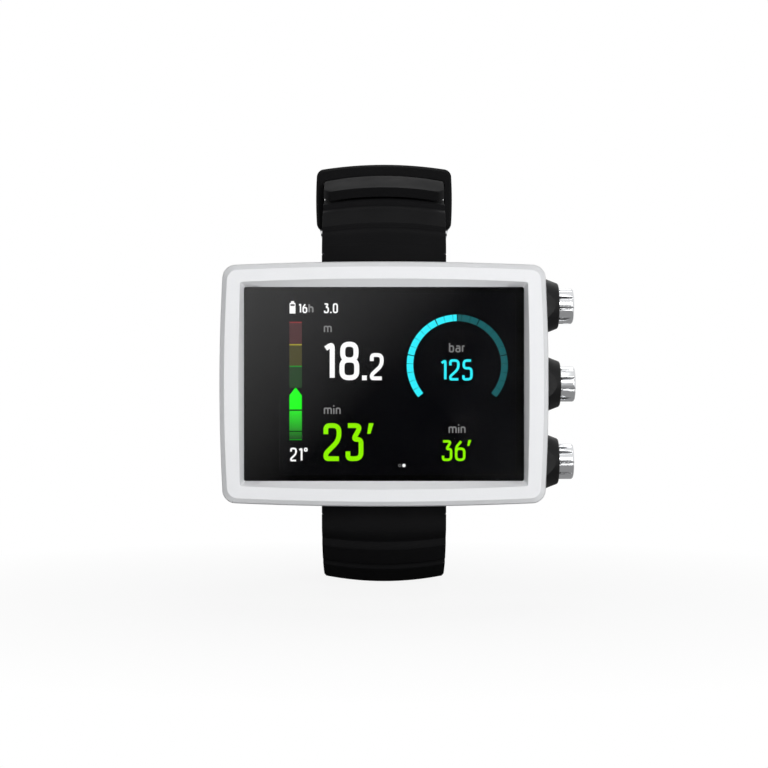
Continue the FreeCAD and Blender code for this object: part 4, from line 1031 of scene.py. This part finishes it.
def rod_cutter(y, z, radius, x0, x1, count=32):
    """A rod along X, for cutting."""
    bm = bmesh.new()
    angles = [2 * math.pi * i / count for i in range(count)]
    ring = [(radius * math.cos(angle), radius * math.sin(angle)) for angle in angles]
    loft(bm, [[Vector((x, y + a, z + b)) for a, b in ring] for x in (x0, x1)])
    return mesh_object("rod_cutter", bm, shared(silicone_rubber))


def cut(piece, cutters):
    """Cut shapes out of a piece for good."""
    for cutter in cutters:
        boolean = piece.modifiers.new("cut", "BOOLEAN")
        boolean.operation = "DIFFERENCE"
        boolean.solver = "EXACT"
        boolean.object = cutter
    bpy.context.view_layer.update()
    depsgraph = bpy.context.evaluated_depsgraph_get()
    mesh = bpy.data.meshes.new_from_object(piece.evaluated_get(depsgraph))
    piece.modifiers.clear()
    old = piece.data
    piece.data = mesh
    bpy.data.meshes.remove(old)
    for cutter in cutters:
        bpy.data.objects.remove(cutter)
    mesh.set_sharp_from_angle(angle=math.radians(SHARP_ANGLE))


def lug_cutters(pin_node, side):
    """The seat of the case's lug, and the pin's hole with its screw heads' seats."""
    settings = bpy.context.scene.dive_strap
    low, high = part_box(pin_node)
    y, z = (low.y + high.y) / 2, (low.z + high.z) / 2
    screw_low, screw_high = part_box("lug_screws")
    room = settings.lug_radius + settings.lug_gap
    half = settings.lug_half + settings.lug_gap
    case_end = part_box("bezel")[1].z - bpy.context.scene.dive_case.end_bow
    z0, z1 = sorted((side * case_end, z + side * room))
    reach = settings.width / 2
    head = (screw_high.y - screw_low.y) / 2 + FIT
    return [box_cutter((-half, y - room, z0), (half, settings.keeper_band, z1)),
            rod_cutter(y, z, (high.z - low.z) / 2 + FIT, -reach - MM, reach + MM),
            rod_cutter(y, z, head, -reach - MM, low.x), rod_cutter(y, z, head, high.x, reach + MM)]


def build_short_strap(line):
    """The short half, which carries the keeper and ends round the buckle's bar."""
    settings = bpy.context.scene.dive_strap
    low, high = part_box("buckle_bar")
    bar_s = line["ends"][-1] - settings.bar_level
    position, _, out = frame_at(line, bar_s)
    y, z = position + out * settings.bar_level
    stations = block_stations(UPPER_BLOCKS, settings.keeper_band)
    stations.append((line["ends"][-1], settings.keeper_band))
    piece = mesh_object("short_strap", strap_mesh(line, stations, bar_s, settings.bar_level),
                        shared(silicone_rubber))
    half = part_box("buckle_tang")[1].x + settings.lug_gap
    room = settings.notch
    beyond = 2 * settings.keeper_band
    reach = settings.width
    cut(piece, lug_cutters("lug_pin_upper", 1) + [
        box_cutter((-half, y - room, z - beyond), (half, y + beyond, z + beyond)),
        rod_cutter(y, z, (high.z - low.z) / 2 + FIT, -reach, reach)])
    fit(piece, "case", "strap", "strap_upper")


def build_long_strap(line):
    """The long half: raised blocks, then a slotted band that ends in the tail."""
    settings = bpy.context.scene.dive_strap
    end = line["ends"][-1]
    stations = block_stations(LOWER_BLOCKS, settings.band) + [(end, settings.band)]
    piece = mesh_object("long_strap", strap_mesh(line, stations, end, corner=settings.tail_corner),
                        shared(silicone_rubber))
    used = sum(line["ends"][CROSSING:CROSSING + 2]) / 2 - settings.slot_shift
    places = [used + i * settings.slot_pitch for i in SLOTS]
    cut(piece, lug_cutters("lug_pin_lower", -1) + [slot_cutter(line, places)])
    fit(piece, "case", "strap", "strap_lower")


def build_strap():
    """Both halves of the strap."""
    short_line, long_line = strap_routes()
    build_short_strap(short_line)
    build_long_strap(long_line)


# ---- keeper

def arched_loop(half, floor, top, crown, radius, y, side_bow=0.0, across=16):
    """A rounded rectangle in the plane at y whose top arches and whose sides bow."""
    points = []
    for sx, sz, start in ((1, 1, 0), (-1, 1, 90), (-1, -1, 180), (1, -1, 270)):
        centre = Vector((sx * (half - radius), (top if sz > 0 else floor) - sz * radius))
        for i in range(BEND_STEPS + 1):
            angle = math.radians(start + 90 * i / BEND_STEPS)
            points.append(centre + Vector((math.cos(angle), math.sin(angle))) * radius)
        reach = {0: Vector((-(half - radius), top)), 90: Vector((-half, floor + radius)),
                 180: Vector((half - radius, floor)), 270: Vector((half, top - radius))}[start]
        here = points[-1]
        points += [here.lerp(reach, i / across) for i in range(1, across)]
    middle, rise = (floor + top) / 2, (top - floor) / 2
    result = []
    for p in points:
        lift = crown * (1 - (p.x / half) ** 2) if p.y > middle else 0
        push = side_bow * (1 - ((p.y - middle) / rise) ** 2) * p.x / half
        result.append(Vector((p.x + push, y, p.y + lift)))
    return result


def build_keeper():
    """The rubber loop that holds the tail."""
    settings = bpy.context.scene.dive_hardware
    crown = bpy.context.scene.dive_strap.crown
    low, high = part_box("keeper")
    bow = settings.keeper_bow
    half = high.x - bow
    top = high.z - crown
    chamfer = settings.keeper_edge

    def outer(y, inset):
        return arched_loop(half - inset, low.z + inset, top - inset, crown,
                           settings.keeper_corner - inset / 2, y, bow)

    def inner(y):
        return arched_loop(high.x - settings.keeper_side, low.z + settings.keeper_floor,
                           top - settings.keeper_roof, crown, settings.keeper_inside, y)

    bm = bmesh.new()
    reach = settings.keeper_reach
    loft(bm, [outer(low.y, chamfer), outer(low.y + reach, 0), outer(high.y - reach, 0),
              outer(high.y, chamfer), inner(high.y), inner(low.y)], ring=True)
    piece = mesh_object("keeper_loop", bm, shared(silicone_rubber))
    soften(piece, settings.keeper_round, segments=3, angle=25)
    fit(piece, "keeper", "strap", "keeper")


# ---- buttons

CAP_TURNS = {"top": 11, "middle": 18, "bottom": 4}      # degrees
FLUTE_STEPS = 30                # points round a cap for each flute
CAP_BREAK = 0.15 * MM           # chamfer of a cap's inner edge
# How far in from the radius the cap's floor and its dish's rim, foot and middle lie
CAP_FLOOR, DISH_RIM, DISH_FOOT, DISH_MIDDLE = 0.7, 0.38, 0.44, 0.95


def cap_ring(centre, radius, x, inset, depth, turn):
    """Points round a cap at x, set in from its radius, with flutes of a depth."""
    settings = bpy.context.scene.dive_hardware
    steps = settings.flutes * FLUTE_STEPS
    pitch = 2 * math.pi / settings.flutes
    loop = []
    for i in range(steps):
        angle = 2 * math.pi * i / steps
        away = (angle - turn + pitch / 2) % pitch - pitch / 2
        reach = radius - inset - depth * math.exp(-(2 * away / settings.flute_angle) ** 2 / 2)
        loop.append(Vector((x, centre.y + reach * math.cos(angle),
                            centre.z + reach * math.sin(angle))))
    return loop


def build_cap(place):
    """One fluted steel cap, turned about the X axis."""
    settings = bpy.context.scene.dive_hardware
    name = "button_cap_" + place
    low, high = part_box(name)
    centre = (low + high) / 2
    radius = max(high.y - low.y, high.z - low.z) / 2
    turn = math.radians(CAP_TURNS[place])
    depth, bend = settings.flute_depth, settings.cap_round
    bore, floor = settings.cap_wall, low.x + settings.cap_hollow
    rows = [(floor, radius * CAP_FLOOR, 0), (floor, bore, 0), (low.x, bore, 0),
            (low.x, CAP_BREAK, depth), (low.x + CAP_BREAK, 0, depth), (high.x - bend, 0, depth)]
    for k in range(1, BEND_STEPS + 1):
        angle = math.radians(90 * k / BEND_STEPS)
        rows.append((high.x - bend + bend * math.sin(angle), bend * (1 - math.cos(angle)),
                     depth * (1 - k / BEND_STEPS)))
    dish = high.x - settings.cap_dish
    rows += [(high.x, radius * DISH_RIM, 0), (dish, radius * DISH_FOOT, 0),
             (dish, radius * DISH_MIDDLE, 0)]
    bm = bmesh.new()
    loft(bm, [cap_ring(centre, radius, *row, turn) for row in rows])
    piece = mesh_object("fluted_cap_" + place, bm, shared(polished_steel), smooth=40)
    fit(piece, "button_" + place, "button", name)


def build_spring(place):
    """One return spring, on its button, with a mesh of its own."""
    name = "button_spring_" + place
    piece = mesh_object("return_spring_" + place, model_mesh(name), shared(polished_steel))
    fit(piece, "button_" + place, "steel", name)
    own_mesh(piece)


# ---- buckle

def rounded_copy(name, body, slot, material, width):
    """A copy of a CAD piece with its edges rounded."""
    bm = model_mesh(name)
    bmesh.ops.dissolve_limit(bm, angle_limit=math.radians(1), verts=bm.verts, edges=bm.edges)
    piece = soften(mesh_object(name + "_rounded", bm, material), width, segments=3, angle=35)
    fit(piece, body, slot, name)


def build_buckle():
    """Frame and tang of the buckle, with rounded edges."""
    for name, edge in (("buckle_frame", 0.35 * MM), ("buckle_tang", 0.3 * MM)):
        rounded_copy(name, name, "buckle", shared(brushed_steel), edge)


# ---- pieces kept from the model

def finish_node(name, material):
    """Give a kept CAD node its finish."""
    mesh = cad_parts[name].data
    mesh.materials.clear()
    mesh.materials.append(material)


def build_kept():
    """Finishes of the model's own pieces, shown or replaced."""
    kept = {
        painted_polycarbonate: ["bezel"],
        glass_filled_polyamide: ["housing", "rear_cover", "battery_tray"],
        nitrile_rubber: ["glass_seal", "rear_seal", "button_seal_top", "button_seal_middle",
                         "button_seal_bottom"],
        brushed_steel: ["rear_cover_screws", "pressure_sensor", "sensor_cover", "lug_pin_upper",
                        "lug_pin_lower", "buckle_bar", "buckle_frame", "buckle_tang",
                        "button_guides"],
        blackened_steel: ["lug_screws"],
        polished_steel: ["button_%s_%s" % (part, place) for part in ("cap", "stem", "clip",
                                                                     "spring")
                         for place in ("top", "middle", "bottom")],
        rolled_brass: ["buzzer"], gold_plating: ["charge_contacts"],
        cast_magnesium: ["display_bracket"], solder_mask: ["main_board", "switch_board"],
        moulding_compound: ["board_components", "button_switches"],
        laminated_foil: ["battery"], strengthened_glass: ["cover_glass"],
        display_layer: ["display_panel"],
        silicone_rubber: ["strap_upper", "strap_lower", "keeper"]}
    for maker, names in kept.items():
        for name in names:
            finish_node(name, shared(maker))


# ---- stage

FLOOR_GAP = 0.3 * MM            # from the strap's lowest point to the floor
FILL = 0.05                     # strength of the plain fill that the background gives
NEAR, FAR, NEAR_WHITE = 0.08, 0.2, 0.9      # where the floor turns white, and its share before
CARD_RISE, CARD_GLOW = 0.15, 0.5            # over which the graded card pales, and how far
GREY_CARD, DARK_CARD = 0.35, 0.05           # strengths of the even cards

# Lamps: name, place and size in metres, power in watts
LAMPS = (("key", (0.31, -1.14, 0.14), 0.6, 11.8), ("fill", (-0.8, -1.0, 0.15), 0.6, 1.0),
         ("top", (0, -0.45, 1.0), 0.5, 0.8), ("rim", (0.1, 0.6, 0.9), 0.6, 2.5))


def white_floor():
    """Matt white card: it shows nearly white and keeps the object's shadow."""
    colour = bpy.context.scene.dive_stage.floor_colour
    made, tree, shader = new_material("matt_white_card", colour, 0.9, ior=1.4)
    grain(tree, shader, 2 * MM, 0.02 * MM, shade=0.01)
    path = node(tree, "ShaderNodeLightPath")
    seen = node(tree, "ShaderNodeMath", {0: path.outputs["Is Camera Ray"],
                                         1: path.outputs["Is Glossy Ray"]}, operation="MAXIMUM")
    seen = node(tree, "ShaderNodeMath", {0: seen.outputs[0],
                                         1: path.outputs["Is Transmission Ray"]},
                operation="MAXIMUM")
    place = node(tree, "ShaderNodeTexCoord")
    away = node(tree, "ShaderNodeVectorMath", {0: place.outputs["Object"]}, operation="LENGTH")
    white = node(tree, "ShaderNodeMapRange", {"Value": away.outputs["Value"], "From Min": NEAR,
                                              "From Max": FAR, "To Min": NEAR_WHITE,
                                              "To Max": 1.0})
    share = node(tree, "ShaderNodeMath", {0: seen.outputs[0], 1: white.outputs["Result"]},
                 operation="MULTIPLY")
    glow = node(tree, "ShaderNodeEmission", {"Strength": 1.0})
    mixed = node(tree, "ShaderNodeMixShader", {0: share.outputs[0], 1: shader.outputs[0],
                                               2: glow.outputs[0]})
    tree.links.new(mixed.outputs[0], tree.nodes["Material Output"].inputs["Surface"])
    return made


def build_world():
    """A white background for the eye, and a plain grey fill for the object."""
    world = bpy.data.worlds.new("studio")
    world.use_nodes = True
    bpy.context.scene.world = world
    tree = world.node_tree
    path = node(tree, "ShaderNodeLightPath")
    seen = node(tree, "ShaderNodeMath", {0: path.outputs["Is Camera Ray"],
                                         1: path.outputs["Is Transmission Ray"]},
                operation="MAXIMUM")
    seen = node(tree, "ShaderNodeMath", {0: seen.outputs[0], 1: path.outputs["Is Glossy Ray"]},
                operation="MAXIMUM")
    strength = node(tree, "ShaderNodeMapRange", {"Value": seen.outputs[0], "To Min": FILL,
                                                 "To Max": 1.0})
    background = tree.nodes["Background"]
    background.inputs["Color"].default_value = (1, 1, 1, 1)
    tree.links.new(strength.outputs["Result"], background.inputs["Strength"])


def lamp(name, place, size, power):
    """A soft square lamp aimed at the middle of the case."""
    light = bpy.data.lights.new(name, "AREA")
    light.size = size
    light.energy = power
    made = bpy.data.objects.new(name, light)
    made.location = place
    made.rotation_euler = (-Vector(place)).to_track_quat("-Z", "Y").to_euler()
    bpy.context.scene.collection.objects.link(made)


def graded_card():
    """Black card that the glass mirrors: it pales towards one upper corner."""
    made = bpy.data.materials.new("graded_studio_card")
    made.use_nodes = True
    tree = made.node_tree
    tree.nodes.remove(tree.nodes["Principled BSDF"])
    place = node(tree, "ShaderNodeTexCoord")
    parts = node(tree, "ShaderNodeSeparateXYZ", {"Vector": place.outputs["Object"]})
    slope = node(tree, "ShaderNodeMath", {0: parts.outputs["Z"], 1: parts.outputs["X"]},
                 operation="SUBTRACT")
    ramp = node(tree, "ShaderNodeMapRange", {"Value": slope.outputs[0], "From Min": 0.0,
                                             "From Max": CARD_RISE, "To Min": 0.0,
                                             "To Max": CARD_GLOW})
    glow = node(tree, "ShaderNodeEmission", {"Strength": ramp.outputs["Result"]})
    tree.links.new(glow.outputs[0], tree.nodes["Material Output"].inputs["Surface"])
    return made


def plain_card(name, strength):
    """An even studio card that polished metal mirrors."""
    made = bpy.data.materials.new(name)
    made.use_nodes = True
    tree = made.node_tree
    tree.nodes.remove(tree.nodes["Principled BSDF"])
    glow = node(tree, "ShaderNodeEmission", {"Strength": strength})
    tree.links.new(glow.outputs[0], tree.nodes["Material Output"].inputs["Surface"])
    return made


def mirrored_card(name, corners, material):
    """A studio card that only reflections show, given by its four corners."""
    bm = bmesh.new()
    bm.faces.new([bm.verts.new(corner) for corner in corners])
    card = mesh_object(name, bm, material)
    for way in ("camera", "diffuse", "shadow"):
        setattr(card, "visible_" + way, False)


def build_cards():
    """Cards in front of the object and under it, for the glass, the metal and the rubber."""
    past_camera, past_object, lift = 0.05, 0.1, 0.2 * MM
    front = -bpy.context.scene.dive_stage.distance - past_camera
    back = CAD_BOX[1][1] + past_object
    low = CAD_BOX[0][2] - FLOOR_GAP + lift
    high, side, edge, low_edge = 0.15, 0.3, 0.095, 0.045
    grey = plain_card("grey_studio_card", GREY_CARD)
    dark = plain_card("dark_studio_card", DARK_CARD)
    for name, x0, x1, material in (("graded_card", -side, edge, graded_card()),
                                   ("grey_card", edge, side, grey)):
        mirrored_card(name, [(x0, front, low), (x1, front, low), (x1, front, high),
                             (x0, front, high)], material)
    for name, x0, x1, material in (("dark_low_card", -side, low_edge, dark),
                                   ("grey_low_card", low_edge, side, grey)):
        mirrored_card(name, [(x0, front, low), (x1, front, low), (x1, back, low),
                             (x0, back, low)], material)


def build_floor():
    """The floor that the strap stands on."""
    level = CAD_BOX[0][2] - FLOOR_GAP
    half, thickness = 3.0, 0.01
    bm = bmesh.new()
    corners = ((-half, -half), (half, -half), (half, half), (-half, half))
    loft(bm, [[Vector((x, y, level - depth)) for x, y in corners] for depth in (0, thickness)])
    floor = mesh_object("floor", bm, white_floor())


def build_camera():
    """The camera, level and square to the display."""
    settings = bpy.context.scene.dive_stage
    data = bpy.data.cameras.new("camera")
    data.lens = settings.lens
    data.clip_start = 0.01
    made = bpy.data.objects.new("camera", data)
    made.location = (0, -settings.distance, 0)
    made.rotation_euler = (math.radians(90), 0, 0)
    bpy.context.scene.collection.objects.link(made)
    bpy.context.scene.camera = made


# ---- operators

class DIVE_OT_bezel(bpy.types.Operator):
    """Build the painted front bezel"""
    bl_idname = "dive.bezel"
    bl_label = "Bezel"

    def execute(self, context):
        build_bezel()
        return {"FINISHED"}


class DIVE_OT_glass(bpy.types.Operator):
    """Build the cover glass"""
    bl_idname = "dive.glass"
    bl_label = "Cover glass"

    def execute(self, context):
        build_glass()
        return {"FINISHED"}


class DIVE_OT_readout(bpy.types.Operator):
    """Build the display and everything that it shows"""
    bl_idname = "dive.readout"
    bl_label = "Readout"

    def execute(self, context):
        build_readout()
        return {"FINISHED"}


class DIVE_OT_strap(bpy.types.Operator):
    """Build both halves of the strap"""
    bl_idname = "dive.strap"
    bl_label = "Strap"

    def execute(self, context):
        build_strap()
        return {"FINISHED"}


class DIVE_OT_keeper(bpy.types.Operator):
    """Build the keeper loop"""
    bl_idname = "dive.keeper"
    bl_label = "Keeper"

    def execute(self, context):
        build_keeper()
        return {"FINISHED"}


class DIVE_OT_buttons(bpy.types.Operator):
    """Build the three fluted button caps and their springs"""
    bl_idname = "dive.buttons"
    bl_label = "Buttons"

    def execute(self, context):
        for place in ("top", "middle", "bottom"):
            build_cap(place)
            build_spring(place)
        return {"FINISHED"}


class DIVE_OT_buckle(bpy.types.Operator):
    """Build the buckle's frame and tang"""
    bl_idname = "dive.buckle"
    bl_label = "Buckle"

    def execute(self, context):
        build_buckle()
        return {"FINISHED"}


class DIVE_OT_kept(bpy.types.Operator):
    """Give the pieces kept from the model their finishes"""
    bl_idname = "dive.kept"
    bl_label = "Finishes"

    def execute(self, context):
        build_kept()
        return {"FINISHED"}


class DIVE_OT_stage(bpy.types.Operator):
    """Build the floor, lamps, background and camera"""
    bl_idname = "dive.stage"
    bl_label = "Stage"

    def execute(self, context):
        build_camera()
        build_floor()
        build_cards()
        build_world()
        for row in LAMPS:
            lamp(*row)
        context.scene.view_settings.view_transform = "Standard"
        return {"FINISHED"}


OPERATORS = (DIVE_OT_stage, DIVE_OT_kept, DIVE_OT_bezel, DIVE_OT_glass, DIVE_OT_readout,
             DIVE_OT_buttons, DIVE_OT_strap, DIVE_OT_keeper, DIVE_OT_buckle)


class DIVE_PT_panel(bpy.types.Panel):
    """Lists the settings and the operators that build the pieces"""
    bl_label = "Dive computer"
    bl_idname = "DIVE_PT_panel"
    bl_space_type = "VIEW_3D"
    bl_region_type = "UI"
    bl_category = PANEL_TAB

    def draw(self, context):
        for name in SETTINGS:
            box = self.layout.box()
            for key in getattr(context.scene, name).bl_rna.properties.keys():
                if key not in ("rna_type", "name"):
                    box.prop(getattr(context.scene, name), key)
        for operator in OPERATORS:
            self.layout.operator(operator.bl_idname)


def register():
    """Register the classes and attach the settings to the scene."""
    for cls in (*SETTINGS.values(), *OPERATORS, DIVE_PT_panel):
        bpy.utils.register_class(cls)
    for name, cls in SETTINGS.items():
        setattr(bpy.types.Scene, name, bpy.props.PointerProperty(type=cls))


def unregister():
    """Undo register."""
    for name in SETTINGS:
        delattr(bpy.types.Scene, name)
    for cls in (DIVE_PT_panel, *reversed(OPERATORS), *reversed(SETTINGS.values())):
        bpy.utils.unregister_class(cls)


def main():
    """Build everything."""
    register()
    bpy.ops.dive.stage()
    bpy.ops.dive.kept()
    bpy.ops.dive.bezel()
    bpy.ops.dive.glass()
    bpy.ops.dive.readout()
    bpy.ops.dive.buttons()
    bpy.ops.dive.strap()
    bpy.ops.dive.keeper()
    bpy.ops.dive.buckle()


if __name__ == "__main__":
    main()
